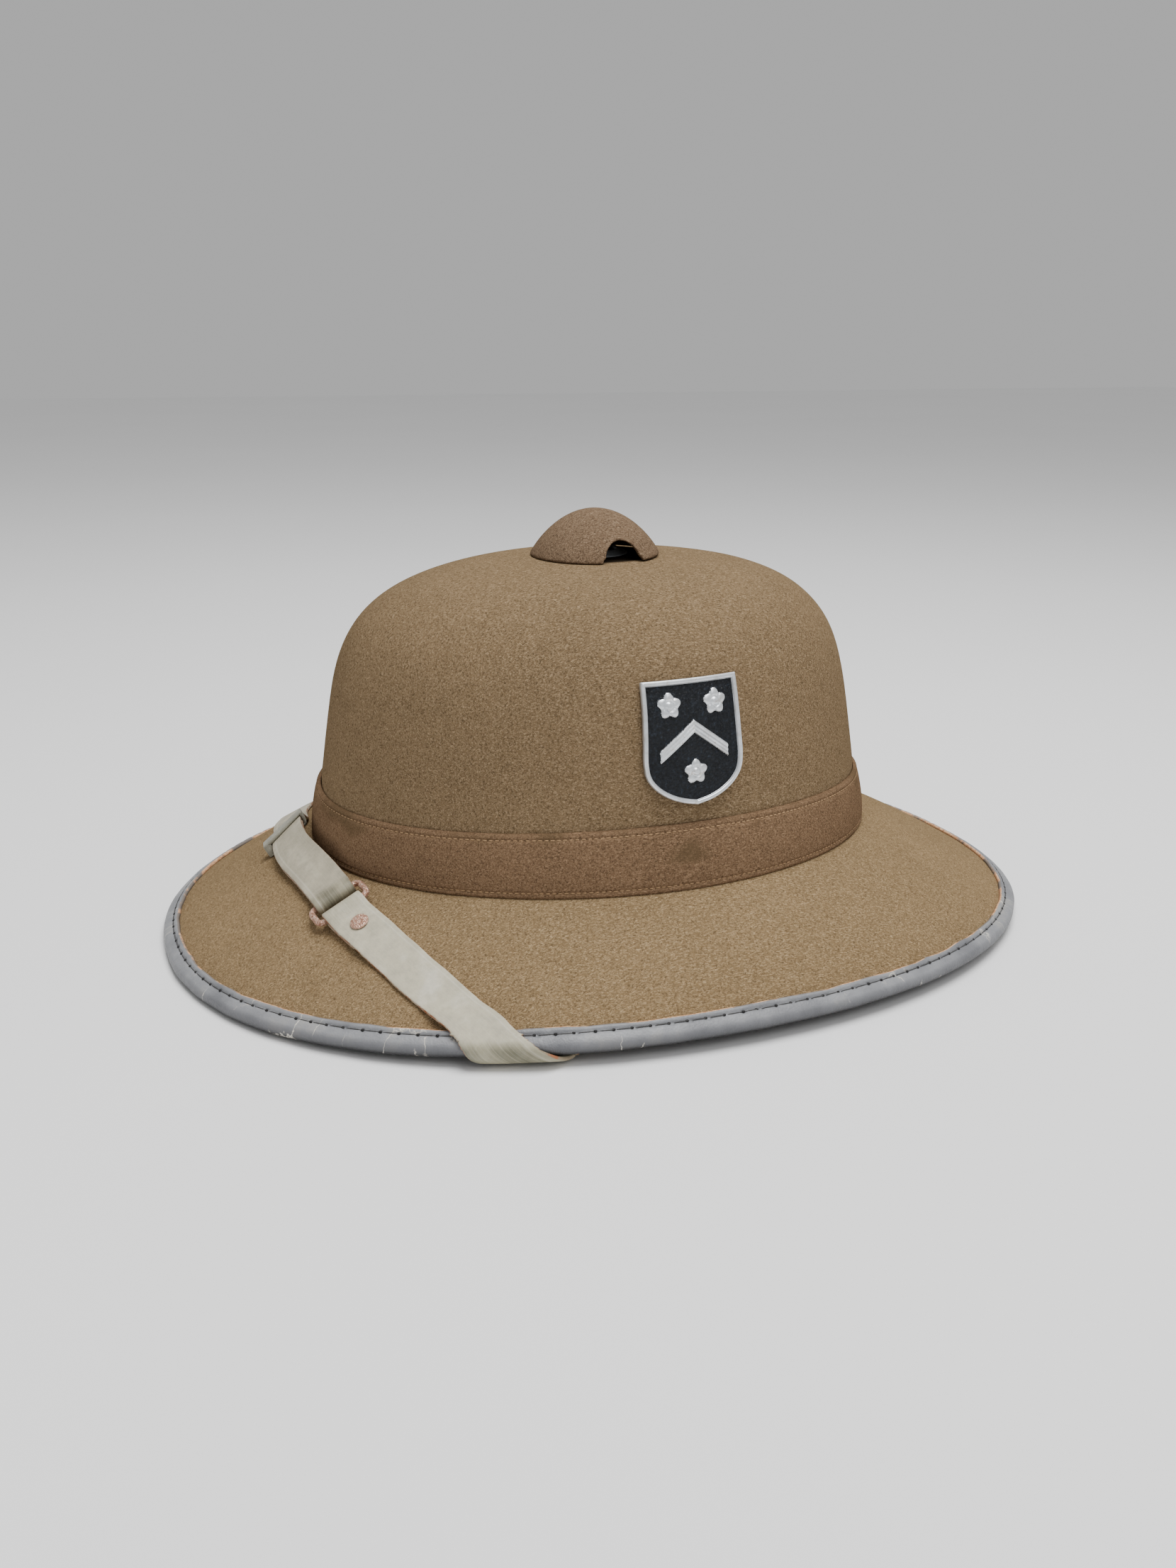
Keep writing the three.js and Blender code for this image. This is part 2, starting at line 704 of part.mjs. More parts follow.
// Loop round the strap at a station between two lifts above the face. Reach is the half width on each side.
function strapLoop(spot, reach, low, high) {
  const inner = spot.across.dot(at(0, 1, 0)) * (spot.here.y < 1 ? 1 : 0) > 0 ? 1 : -1;
  const lean = STRAP_LEAN * (1 - ease(Math.abs(spot.here.x), radians(12), radians(24)));
  const row = (lift) =>
    Array.from({ length: ACROSS + 1 }, (_, i) => {
      const share = (i / ACROSS) * 2 - 1;
      const side = share < 0 ? share * reach[0] : share * reach[1];
      const angle = spot.here.x + spot.slant.x * side;
      const place = spot.here.y + spot.slant.y * side;
      const extra = lean * ((inner * side) / STRAP_WIDTH + 0.5);
      return along(strapFace(angle, place), strapUp(angle, place), lift + Math.max(extra, 0));
    });
  return [...row(low), ...row(high).reverse()];
}

const HALF = [STRAP_WIDTH / 2, STRAP_WIDTH / 2];
const rightWay = strapWay(STRAP_ROWS);
const mirrored = STRAP_ROWS.map((row) => ({ angle: -row.angle, place: row.place }));
const leftWay = strapWay([STRAP_ROWS[0], ...FRONT_ROWS, ...mirrored]);
const ringSpot = station(rightWay, 0);
const ringCentre = along(ringSpot.point, ringSpot.up, BAR_LIFT);

// Loops round a bar of the ring, from the upper layer to the layer below it. Side is 1 for the short strap.
function foldLoops(side) {
  const centre = along(ringCentre, ringSpot.forward, side * RING_REACH);
  const inward = ringSpot.forward.clone().multiplyScalar(-side);
  return [90, 60, 30, 0, -30, -60, -90].map((turn) => {
    const ray = inward.clone().multiplyScalar(Math.cos(radians(turn)));
    ray.addScaledVector(ringSpot.up, Math.sin(radians(turn)));
    const row = (radius) =>
      Array.from({ length: ACROSS + 1 }, (_, i) => {
        const share = ((i / ACROSS) * 2 - 1) * side;
        return along(along(centre, ray, radius), ringSpot.across, share * STRAP_WIDTH * 0.5);
      });
    return [...row(WRAP_INNER), ...row(WRAP_INNER + STRAP_WALL).reverse()];
  });
}

// Whole strap: along its way, back round the bar and under itself. Under gives the lift of the lower layer.
function makeStrap(way, side, tailEnd, tailStops, stops, under, joined) {
  const start = RING_REACH;
  const doubled = STRAP_WALL + GAP;
  const upper = (x) => {
    const nearBar = mix(BAR_LIFT + WRAP_INNER, under(x) + doubled, ease(x, 0, joined));
    return mix(nearBar, GAP, ease(x, tailEnd + 1, tailEnd + 12));
  };
  const top = stops.map((x) => {
    const lift = upper(x);
    return strapLoop(station(way, start + x), HALF, lift, lift + STRAP_WALL);
  });
  const tail = tailStops.map((x) => {
    const lift = under(x);
    const loop = strapLoop(station(way, start + x), HALF, lift, lift + STRAP_WALL);
    return [...loop.slice(ACROSS + 1).reverse(), ...loop.slice(0, ACROSS + 1).reverse()];
  });
  const loops = [...top.reverse(), ...foldLoops(side), ...tail];
  return body(loops, [middle(loops[0]), middle(loops.at(-1))]);
}

// Even steps between two distances, both ends included.
const steps = (from, to, count) => Array.from({ length: count + 1 }, (_, i) => mix(from, to, i / count));

// Stops of a strap from the ring to its end: closer together round the rim and round the crown's foot.
function stopsOf(way, near) {
  const [rimIn, rimStart, rimEnd, foot, bend] = [0.85, 1, 2, 3, 3.2].map((p) => way.distanceTo(p) - RING_REACH);
  return [
    ...near,
    ...steps(near.at(-1) + 9, rimIn, 4),
    ...steps(rimStart, rimEnd, 6),
    ...steps(rimEnd + 8, foot, 4),
    bend,
    ...steps(bend + 5, way.total - RING_REACH, 1),
  ];
}

const clipAt = CLIP_DISTANCE - RING_REACH;
const clipSeat = GAP + CLIP_WALL + GAP;
const underShort = () => GAP;
const underLong = (x) => mix(GAP, clipSeat, ease(x, clipAt * 0.4, clipAt - 6));

function pin(spot, rows) {
  const loops = rows.map((row) =>
    Array.from({ length: 16 }, (_, i) => {
      const turn = (i / 16) * Math.PI * 2;
      const rim = along(spot.point, spot.forward, row.radius * Math.cos(turn));
      return along(along(rim, spot.across, row.radius * Math.sin(turn)), spot.up, row.lift);
    }),
  );
  const ends = [rows[0], rows.at(-1)].map((row) => along(spot.point, spot.up, row.lift));
  return body(loops, ends);
}

const rivetSpot = station(rightWay, RING_REACH + RIVET_DISTANCE);
const rivetTop = GAP + STRAP_WALL + GAP + STRAP_WALL;

function makeRivet() {
  const base = rivetTop + GAP;
  return pin(rivetSpot, [
    { radius: RIVET_SHANK / 2, lift: GAP },
    { radius: RIVET_SHANK / 2, lift: base },
    { radius: RIVET_HEAD / 2, lift: base },
    { radius: RIVET_HEAD / 2, lift: base + 0.35 },
    { radius: RIVET_HEAD * 0.36, lift: base + 0.8 },
    { radius: RIVET_HEAD * 0.15, lift: base + 0.95 },
  ]);
}

const anchorSpots = [rightWay, leftWay].map((way) => station(way, way.total - ANCHOR_HEAD));

function makeAnchor(spot) {
  const base = GAP + STRAP_WALL + GAP;
  return pin(spot, [
    { radius: ANCHOR_SHANK / 2, lift: -CROWN_WALL - STRAP_STAND },
    { radius: ANCHOR_SHANK / 2, lift: base },
    { radius: ANCHOR_HEAD / 2, lift: base },
    { radius: ANCHOR_HEAD / 2, lift: base + 0.5 },
    { radius: ANCHOR_HEAD * 0.35, lift: base + 1 },
  ]);
}

const drill = (spot, shank) =>
  pin(spot, [
    { radius: shank / 2 + GAP, lift: -CROWN_WALL - 3 },
    { radius: shank / 2 + GAP, lift: 12 },
  ]);

function makeShortStrap() {
  const stops = stopsOf(rightWay, [3, RIVET_DISTANCE - 4, RIVET_DISTANCE, TAIL_LENGTH + 2, TAIL_LENGTH + 7, TAIL_LENGTH + 12]);
  const tailStops = [3, RIVET_DISTANCE - 4, RIVET_DISTANCE, TAIL_LENGTH];
  const strap = makeStrap(rightWay, 1, TAIL_LENGTH, tailStops, stops, underShort, RIVET_DISTANCE - 4);
  return cut(strap, [drill(rivetSpot, RIVET_SHANK), drill(anchorSpots[0], ANCHOR_SHANK)]);
}

function makeLongStrap() {
  const tailEnd = clipAt + CLIP_LENGTH;
  const doubled = [5, 10, ...steps(18, clipAt - 4, 7), clipAt];
  const beyond = [tailEnd + 1, tailEnd + 5, tailEnd + 9, tailEnd + 13];
  const stops = stopsOf(leftWay, [...doubled, clipAt + 4, ...beyond]);
  const tailStops = [...doubled, tailEnd];
  const strap = makeStrap(leftWay, -1, tailEnd, tailStops, stops, underLong, 10);
  return cut(strap, [drill(anchorSpots[1], ANCHOR_SHANK)]);
}

// Folded plate round both layers of the long strap, with a tab past the strap's outer edge.
function makeClip() {
  const high = clipSeat + 2 * STRAP_WALL + GAP;
  const side = STRAP_WIDTH / 2 + GAP;
  const ends = [-CLIP_LENGTH / 2, CLIP_LENGTH / 2].map((shift) => station(leftWay, CLIP_DISTANCE + shift));
  const towardRim = ends[0].across.y < 0 ? 1 : 0;
  const wide = [side + CLIP_WALL, side + CLIP_WALL];
  wide[towardRim] += CLIP_TAB;
  const outer = ends.map((end) => strapLoop(end, wide, clipSeat - GAP - CLIP_WALL, high + GAP + CLIP_WALL));
  const inner = ends.map((end) => strapLoop(end, [side, side], clipSeat - GAP, high + GAP));
  return body([outer[0], outer[1], inner[1], inner[0]]);
}

// Wire loop that joins the two straps.
function makeRing() {
  const halfWide = (RING_INNER + RING_WIRE) / 2;
  const corners = [
    { along: 1, across: 1, from: 0 },
    { along: -1, across: 1, from: 90 },
    { along: -1, across: -1, from: 180 },
    { along: 1, across: -1, from: 270 },
  ];
  const loops = [];
  for (const corner of corners) {
    for (const part of [0, 30, 60, 90]) {
      const turn = radians(corner.from + part);
      const ray = ringSpot.forward.clone().multiplyScalar(Math.cos(turn));
      ray.addScaledVector(ringSpot.across, Math.sin(turn));
      const centre = along(ringCentre, ringSpot.forward, corner.along * (RING_REACH - RING_CORNER));
      centre.addScaledVector(ringSpot.across, corner.across * (halfWide - RING_CORNER));
      centre.addScaledVector(ray, RING_CORNER);
      loops.push(
        Array.from({ length: 8 }, (_, i) => {
          const spin = ((i + 0.5) / 8) * Math.PI * 2;
          const rim = along(centre, ray, (Math.cos(spin) * RING_WIRE) / 2);
          return along(rim, ringSpot.up, (Math.sin(spin) * RING_WIRE) / 2);
        }),
      );
    }
  }
  return body(loops);
}

function material(colour, roughness, metalness) {
  return new THREE.MeshStandardMaterial({ color: colour, roughness, metalness });
}

const root = new THREE.Group();
root.name = "pith_helmet";

function add(name, geometry, look) {
  geometry.computeVertexNormals();
  const mesh = new THREE.Mesh(geometry, look);
  mesh.name = name;
  root.add(mesh);
}

const crownDrills = anchorSpots.map((spot) => drill(spot, ANCHOR_SHANK));
add("crown", cut(around(crownSection), crownDrills), material(0x816d52, 0.95, 0));
add("brim", around(brimSection), material(0x9b8669, 0.95, 0));
add("hat_band", around(bandSection), material(0x785c44, 0.95, 0));
add("brim_binding", makeBinding(), material(0xa5a6a8, 0.5, 0));
add("vent_cap", makeCap(), material(0x826c57, 0.95, 0));
add("vent_ring", makeEyelet(), material(0x676054, 0.5, 1));
add("badge_shield", makeBadge(), material(0xccd4d9, 0.35, 1));
add("strap_long", makeLongStrap(), material(0xb5ae9e, 0.6, 0));
add("strap_short", makeShortStrap(), material(0xc1bdae, 0.6, 0));
add("strap_ring", makeRing(), material(0xbea18d, 0.45, 1));
add("strap_rivet", makeRivet(), material(0xbca08e, 0.45, 1));
add("strap_clip", makeClip(), material(0x9c988a, 0.5, 0));
add("strap_anchor_left", makeAnchor(anchorSpots[0]), material(0x8c8272, 0.5, 1));
add("strap_anchor_right", makeAnchor(anchorSpots[1]), material(0x8c8272, 0.5, 1));

export default root;
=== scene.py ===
import math

import bmesh
import bpy
import numpy as np
from mathutils import Matrix, Vector


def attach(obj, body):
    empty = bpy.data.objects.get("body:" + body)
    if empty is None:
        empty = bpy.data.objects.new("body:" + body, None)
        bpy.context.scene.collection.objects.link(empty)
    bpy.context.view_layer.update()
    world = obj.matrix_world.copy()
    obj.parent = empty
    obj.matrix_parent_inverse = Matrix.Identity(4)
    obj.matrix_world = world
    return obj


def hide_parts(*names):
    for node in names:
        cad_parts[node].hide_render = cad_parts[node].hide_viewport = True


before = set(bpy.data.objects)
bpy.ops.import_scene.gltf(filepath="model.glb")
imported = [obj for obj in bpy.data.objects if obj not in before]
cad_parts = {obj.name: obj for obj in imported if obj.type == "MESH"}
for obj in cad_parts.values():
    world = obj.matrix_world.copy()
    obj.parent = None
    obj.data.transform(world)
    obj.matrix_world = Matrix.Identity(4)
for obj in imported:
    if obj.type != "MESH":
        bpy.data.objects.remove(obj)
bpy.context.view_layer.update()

# Lengths below are in millimetres, as in the CAD part; meshes are made in metres.
MM = 0.001
GAP = 0.3

BRIM_LENGTH = 337
BRIM_WIDTH = 267.6
BRIM_WALL = 3
BRIM_SQUARENESS = 2.16
BRIM_BULGE = 1.5
RIM_RISE = 4.6
REST_FLAT = 0.45
SEAT_HEIGHT = 37
SEAT_SADDLE = 2.2

CROWN_LENGTH = 208.8
CROWN_WIDTH = 172.6
CROWN_WALL = 3
CROWN_Y = -4.05
SHOULDER_HEIGHT = 56.9
CROWN_RISE = 80.1
CROWN_FULLNESS = 5.25
CROWN_ROUNDNESS = 2.83
CROWN_TAPER = 0.118
CROWN_TILT = 0.018
CROWN_LEAN = 1
FOOT_FLARE_FRONT = 0.5
FOOT_FLARE_SIDE = 1.1
FOOT_DROP = 2.45

COLLAR_WALL = 1.8
COLLAR_HEIGHT = 9
BAND_WALL = 1.3
BAND_TOP = 57.2
BAND_SADDLE = 2.2
BAND_FLARE = 0.15
BAND_FLARE_SIDE = 1.5

BINDING_WALL = 1.3
BINDING_LEG = 4.7

CAP_DIAMETER = 48.4
CAP_HEIGHT = 16.5
CAP_WALL = 2.6
CAP_BELL = 1.7
TOP_Y = CROWN_Y - CROWN_LEAN + 1.2
ARCH_WIDTH = 13.6
ARCH_HEIGHT = 8.8
ARCH_BACK = 2.3
HOLE_DIAMETER = 18
EYELET_FLANGE = 3.4
EYELET_WALL = 1

BADGE_WIDTH = 35.8
BADGE_HEIGHT = 41
BADGE_FIELD = 1.2
BADGE_RIM_WIDTH = 1.6
BADGE_RELIEF = 0.8
BADGE_Y = -1.9
BADGE_Z = 86.4
BADGE_TURN = 0.8
BADGE_STAND = 0.6

STRAP_WIDTH = 14.8
STRAP_WALL = 1.4
STRAP_LEAN = 4.6
STRAP_STAND = 0.25
ANCHOR_RISE = 16
ANCHOR_HEAD = 8
RING_WIRE = 2.2
RING_LENGTH = 10.5
RING_CORNER = 2
RIVET_DISTANCE = 10.3
RIVET_HEAD = 6.4
TAIL_LENGTH = 16
CLIP_DISTANCE = 63.5
CLIP_LENGTH = 4.5
CLIP_WALL = 0.8
CLIP_TAB = 2.2

ROLL = BRIM_WALL / 2 + GAP + BINDING_WALL
RIM_Z = ROLL - REST_FLAT
RING_INNER = STRAP_WIDTH + 2 * GAP + 1.6
RING_REACH = (RING_LENGTH - RING_WIRE) / 2
WRAP_INNER = RING_WIRE / 2 + 0.1
BAR_LIFT = 2 * GAP + STRAP_WALL + RING_WIRE / 2

STRAP_ROWS = [
    (26.5, 0.125),
    (34, 0.228),
    (39, 0.31),
    (44, 0.41),
    (48, 0.515),
    (52, 0.628),
    (58.3, 0.85),
    (61.6, 1),
    (64.3, 1.5),
    (66.9, 2),
    (75.5, 2.3),
    (82.5, 2.65),
    (88, 3),
    (88.5, 3.2),
    (89, 4),
]
FRONT_ROWS = [(19, 0.032), (10, -0.012), (0, -0.014), (-10, -0.012), (-19, 0.03)]

# Shield outline: share of the height from the top, share of the half width.
SHIELD_ROWS = [
    (0, 0.955),
    (0.22, 0.965),
    (0.45, 0.985),
    (0.64, 1),
    (0.76, 0.95),
    (0.85, 0.8),
    (0.92, 0.58),
    (0.97, 0.31),
    (1, 0),
]
# Raised rim of the badge: distance in from the outline, height above the back.
BADGE_RIM_ROWS = [
    (0, 0.9),
    (0, 1.5),
    (0.08, 1.8),
    (0.25, 2.02),
    (0.45, 2.1),
    (0.8, 2.12),
    (1.1, 2.08),
    (1.3, 1.95),
    (1.45, 1.7),
    (1.55, 1.4),
    (1.6, 1.22),
]
ROSETTES = [(-8.2, 12.6), (8.2, 12.6), (0, -9.4)]

# Points round the hat, the binding, the cap and its eyelet, the badge; rings of the badge's field.
AROUND = 240
BINDING_AROUND = 900
CAP_AROUND = 96
BADGE_AROUND = 360
BADGE_RINGS = 96
TINY = 1e-9
FELT_VOXEL = 0.46
# Middle of the crown that its dents point away from, and where the brim's waves begin and end.
CROWN_HUB_Z = 70
WAVES_BEGIN = (102, 114)
WAVES_END = (112, 124)

# Rows of stitches: shares of the band's height, and the distance from the rim on the binding.
STITCH_LOW = 0.085
STITCH_HIGH = 0.915
STITCH_GROOVE = 0.42
BINDING_STITCH = 2.5
RIM_PITCH = 6.1
# Pitch, length, thickness and sink of the stitches.
BAND_THREAD = (2.05, 1.4, 0.44, 0.04)
RIM_THREAD = (RIM_PITCH, 5.4, 0.36, 0.12)
# Share of a stitch's length, share of its thickness.
STITCH_PROFILE = [(0, 0.25), (0.1, 0.75), (0.3, 1), (0.7, 1), (0.9, 0.75), (1, 0.25)]
# Needle hole: half its length and half its width, the share left at its foot, its depth.
HOLE_HALVES = (0.62, 0.42)
HOLE_TAPER = 0.6
HOLE_DEPTH = 0.35

FLOOR_HALF = 4000
FLOOR_Z = -0.05
WORLD_STRENGTH = 0.48
# Name, place and target in metres, size in metres, power in watts.
LIGHTS = [
    ("top", (0.15, 0.1, 1.25), (0, 0, 0.06), 0.9, 20),
    ("side", (0.9, 0.1, 0.9), (0, 0, 0.08), 0.6, 2),
]
CAMERA_AZIMUTH = 67.99
CAMERA_ELEVATION = 18.0
CAMERA_DISTANCE = 553.86
CAMERA_ROLL = 0.46
CAMERA_TARGET = (-0.58, -5.49, 47.03)
CAMERA_FOCUS = 2000
CAMERA_SENSOR = 36
PHOTO_HEIGHT = 2212


def vec(x, y, z):
    return np.stack(np.broadcast_arrays(*(np.asarray(v, float) for v in (x, y, z))), -1)


def unit(v):
    return v / np.linalg.norm(v, axis=-1, keepdims=True)


def mix(a, b, t):
    return a + (b - a) * t


def ease(x, low, high):
    t = np.clip((x - low) / (high - low), 0, 1)
    return t * t * (3 - 2 * t)


def power(v, e):
    return np.sign(v) * np.abs(v) ** e


def dot(a, b):
    return (a * b).sum(-1)


def turns(count):
    return np.linspace(0, 2 * math.pi, count, endpoint=False)


# Distances of points from the first one, measured along their line.
def runs(line, closed=False):
    if closed:
        line = np.vstack([line, line[:1]])
    return np.concatenate([[0], np.cumsum(np.linalg.norm(np.diff(line, axis=0), axis=1))])


# Loops for a loft from rows that each go once round the hat.
def round_loops(section):
    return np.asarray(section).transpose(1, 0, 2)


def crown_ring(rise):
    down = np.maximum(-rise, 0) * CROWN_RISE / (SHOULDER_HEIGHT - SEAT_HEIGHT)
    up = np.clip(rise, 0, 1)
    share = (1 - CROWN_TAPER * up) * (1 - up**CROWN_FULLNESS) ** (1 / CROWN_ROUNDNESS)
    a = CROWN_LENGTH / 2 * share + FOOT_FLARE_FRONT * down
    b = CROWN_WIDTH / 2 * share + FOOT_FLARE_SIDE * down
    return a, b


def crown_face(angle, rise):
    a, b = crown_ring(rise)
    upper = np.maximum(rise, 0)
    y = CROWN_Y - CROWN_LEAN * upper - a * np.cos(angle)
    z = SHOULDER_HEIGHT + CROWN_RISE * rise + CROWN_TILT * (y - CROWN_Y) * upper
    return vec(b * np.sin(angle), y, z)


def rise_of_turn(turn):
    return np.sin(np.radians(turn)) ** (2 / CROWN_FULLNESS)


def crown_at(angle, rise, out):
    angle, rise = np.broadcast_arrays(np.asarray(angle, float), np.asarray(rise, float))
    step = 0.02
    reach = np.where(rise > 0.9, (1 - rise) * 0.3, 0.02)
    side = crown_face(angle + step, rise) - crown_face(angle - step, rise)
    upward = crown_face(angle, rise + reach) - crown_face(angle, rise - reach)
    normal = unit(np.cross(side, upward))
    return crown_face(angle, rise) + normal * np.asarray(out, float)[..., None]


def crown_at_height(angle, z, out):
    return crown_at(angle, (np.asarray(z) - SHOULDER_HEIGHT) / CROWN_RISE, out)


def top_height(x, y):
    low = np.full(np.shape(x), 0.5)
    high = np.ones(np.shape(x))
    for _ in range(40):
        rise = (low + high) / 2
        a, b = crown_ring(rise)
        across = x / np.maximum(b, TINY)
        along = (y - CROWN_Y + CROWN_LEAN * rise) / np.maximum(a, TINY)
        inside = np.hypot(across, along) < 1
        low = np.where(inside, rise, low)
        high = np.where(inside, high, rise)
    return SHOULDER_HEIGHT + CROWN_RISE * low + CROWN_TILT * (y - CROWN_Y) * low


def top_point(angle, radius, lift):
    x = radius * np.sin(angle)
    y = TOP_Y - radius * np.cos(angle)
    return vec(x, y, top_height(x, y) + lift)


def seat_at(angle):
    return SEAT_HEIGHT - SEAT_SADDLE * np.cos(2 * angle)


def brim_foot(angle):
    a, b = crown_ring(np.asarray((SEAT_HEIGHT - SHOULDER_HEIGHT) / CROWN_RISE))
    return vec(b * np.sin(angle), CROWN_Y - a * np.cos(angle), seat_at(angle))


def brim_rim(angle):
    x = (BRIM_WIDTH / 2 - ROLL) * power(np.sin(angle), 2 / BRIM_SQUARENESS)
    y = -(BRIM_LENGTH / 2 - ROLL) * power(np.cos(angle), 2 / BRIM_SQUARENESS)
    return vec(x, y, RIM_Z + RIM_RISE * np.sin(angle) ** 2)


def brim_middle(angle, share):
    angle, share = np.broadcast_arrays(np.asarray(angle, float), np.asarray(share, float))
    s = share[..., None]
    point = brim_foot(angle) * (1 - s) + brim_rim(angle) * s
    point[..., 2] += BRIM_BULGE * 4 * share * (1 - share)
    return point


def brim_up(angle, share):
    step = 0.01
    side = brim_middle(angle + step, share) - brim_middle(angle - step, share)
    outward = brim_middle(angle, share + step) - brim_middle(angle, share - step)
    return unit(np.cross(outward, side))


def brim_at(angle, share, lift):
    share = np.asarray(share, float)
    return brim_middle(angle, share) + brim_up(angle, share) * np.asarray(lift, float)[..., None]


def brim_share(angle, out, lift):
    plan = brim_rim(angle) - brim_foot(angle)
    plan[..., 2] = 0
    reach = np.linalg.norm(plan, axis=-1)
    return (out - lift * dot(brim_up(angle, 0.05), plan / reach[..., None])) / reach


def rim_frame(angle):
    up = brim_up(angle, 1.0)
    step = brim_middle(angle, 1.0) - brim_middle(angle, 0.99)
    outward = unit(step - up * dot(step, up)[..., None])
    return brim_rim(angle), outward, up


def rim_at(angle, out, up):
    centre, outward, upward = rim_frame(angle)
    return centre + outward * np.asarray(out, float)[..., None] + upward * np.asarray(up, float)[..., None]


def rim_turn(angle, radius, degrees):
    turn = np.radians(degrees)
    return rim_at(angle, radius * np.cos(turn), radius * np.sin(turn))


def foot_turn(angle, degrees, radius):
    turn = np.radians(degrees)
    z = seat_at(angle) - FOOT_DROP + CROWN_WALL / 2 - radius * np.sin(turn)
    return crown_at_height(angle, z, -CROWN_WALL / 2 - radius * np.cos(turn))


def band_low(angle):
    flare = mix(BAND_FLARE, BAND_FLARE_SIDE, np.sin(angle) ** 2)
    return 2 * GAP + COLLAR_WALL + BAND_WALL + flare


# Gentle unevenness of hand-blocked felt: a few long waves, in millimetres.
def waves(points, size, amount, seed):
    rng = np.random.default_rng(seed)
    total = np.zeros(points.shape[:-1])
    for _ in range(7):
        direction = unit(rng.normal(size=3))
        length = size * rng.uniform(0.7, 1.5)
        total += np.sin(points @ direction * (2 * math.pi / length) + rng.uniform(0, 6.28))
    return total * amount / 3


# Meshes

def new_object(name, verts, faces, uvs=None):
    mesh = bpy.data.meshes.new(name)
    mesh.from_pydata((np.asarray(verts) * MM).tolist(), [], faces)
    if uvs is not None:
        layer = mesh.uv_layers.new(name="UVMap")
        uvs = np.asarray(uvs)
        index = np.zeros(len(mesh.loops), dtype=np.int32)
        mesh.loops.foreach_get("vertex_index", index)
        layer.data.foreach_set("uv", uvs[index].ravel())
    mesh.validate()
    mesh.update()
    mesh.polygons.foreach_set("use_smooth", [True] * len(mesh.polygons))
    obj = bpy.data.objects.new(name, mesh)
    bpy.context.scene.collection.objects.link(obj)
    return obj


def fix_normals(obj):
    bm = bmesh.new()
    bm.from_mesh(obj.data)
    bmesh.ops.recalc_face_normals(bm, faces=bm.faces)
    bm.to_mesh(obj.data)
    bm.free()


# Closed body from an array of loops (loops, points, 3).
# Tips close the ends, otherwise the last loop joins the first.
def loft(name, loops, tips=None, uvs=None):
    loops = np.asarray(loops)
    rows, count = loops.shape[:2]
    verts = loops.reshape(-1, 3)
    index = np.arange(rows * count).reshape(rows, count)
    nxt = np.roll(index, -1, axis=1)
    below = np.roll(index, -1, axis=0)
    below_next = np.roll(nxt, -1, axis=0)
    last = rows if tips is None else rows - 1
    faces = np.stack([index, below, below_next, nxt], -1)[:last].reshape(-1, 4).tolist()
    if tips is not None:
        start = len(verts)
        verts = np.vstack([verts, tips])
        if uvs is not None:
            uvs = np.vstack([uvs.reshape(-1, 2), uvs[0].mean(0), uvs[-1].mean(0)])
        for j in range(count):
            k = (j + 1) % count
            faces.append([start, index[0, j], index[0, k]])
            faces.append([start + 1, index[-1, k], index[-1, j]])
    elif uvs is not None:
        uvs = uvs.reshape(-1, 2)
    obj = new_object(name, verts, faces, uvs)
    fix_normals(obj)
    return obj


# Adds one small closed body, given as rings of equally many points, to shared lists.
def add_body(verts, faces, rings):
    base, sides = len(verts), len(rings[0])
    for ring in rings:
        verts.extend(ring)
    for row in range(len(rings) - 1):
        for j in range(sides):
            here, beside = (base + row * sides + k for k in (j, (j + 1) % sides))
            faces.append([here, beside, beside + sides, here + sides])
    last = base + (len(rings) - 1) * sides
    faces.append([base + j for j in range(sides)][::-1])
    faces.append([last + j for j in range(sides)])


angles = turns(AROUND)


# Materials

BLACK = (0, 0, 0)
WHITE = (1, 1, 1)
FIBRE_SCALE = 3600
FIBRE_STRETCH = (1, 0.2, 0.7)
# Turn of each layer of fibres and its share of the fibre scale.
FIBRE_LAYERS = [((0.3, 0.8, 0.2), 1.0), ((1.2, 0.1, 1.0), 1.13), ((0.7, 1.9, 2.1), 0.91)]
# Height of the vent on the crown, and the shares of 100 mm between which the cap's shade ends.
VENT_Z = 137
SHADE_FULL = 0.19
SHADE_END = 0.215
# Side place of the embossed ribs of the straps, half the rib's width, and ribs per length.
RIB_SIDE = 5.6
RIB_HALF = 0.42
RIB_BEAT = 6.2
RAW_EDGE = 0.22


def grey(level):
    return (level, level, level)


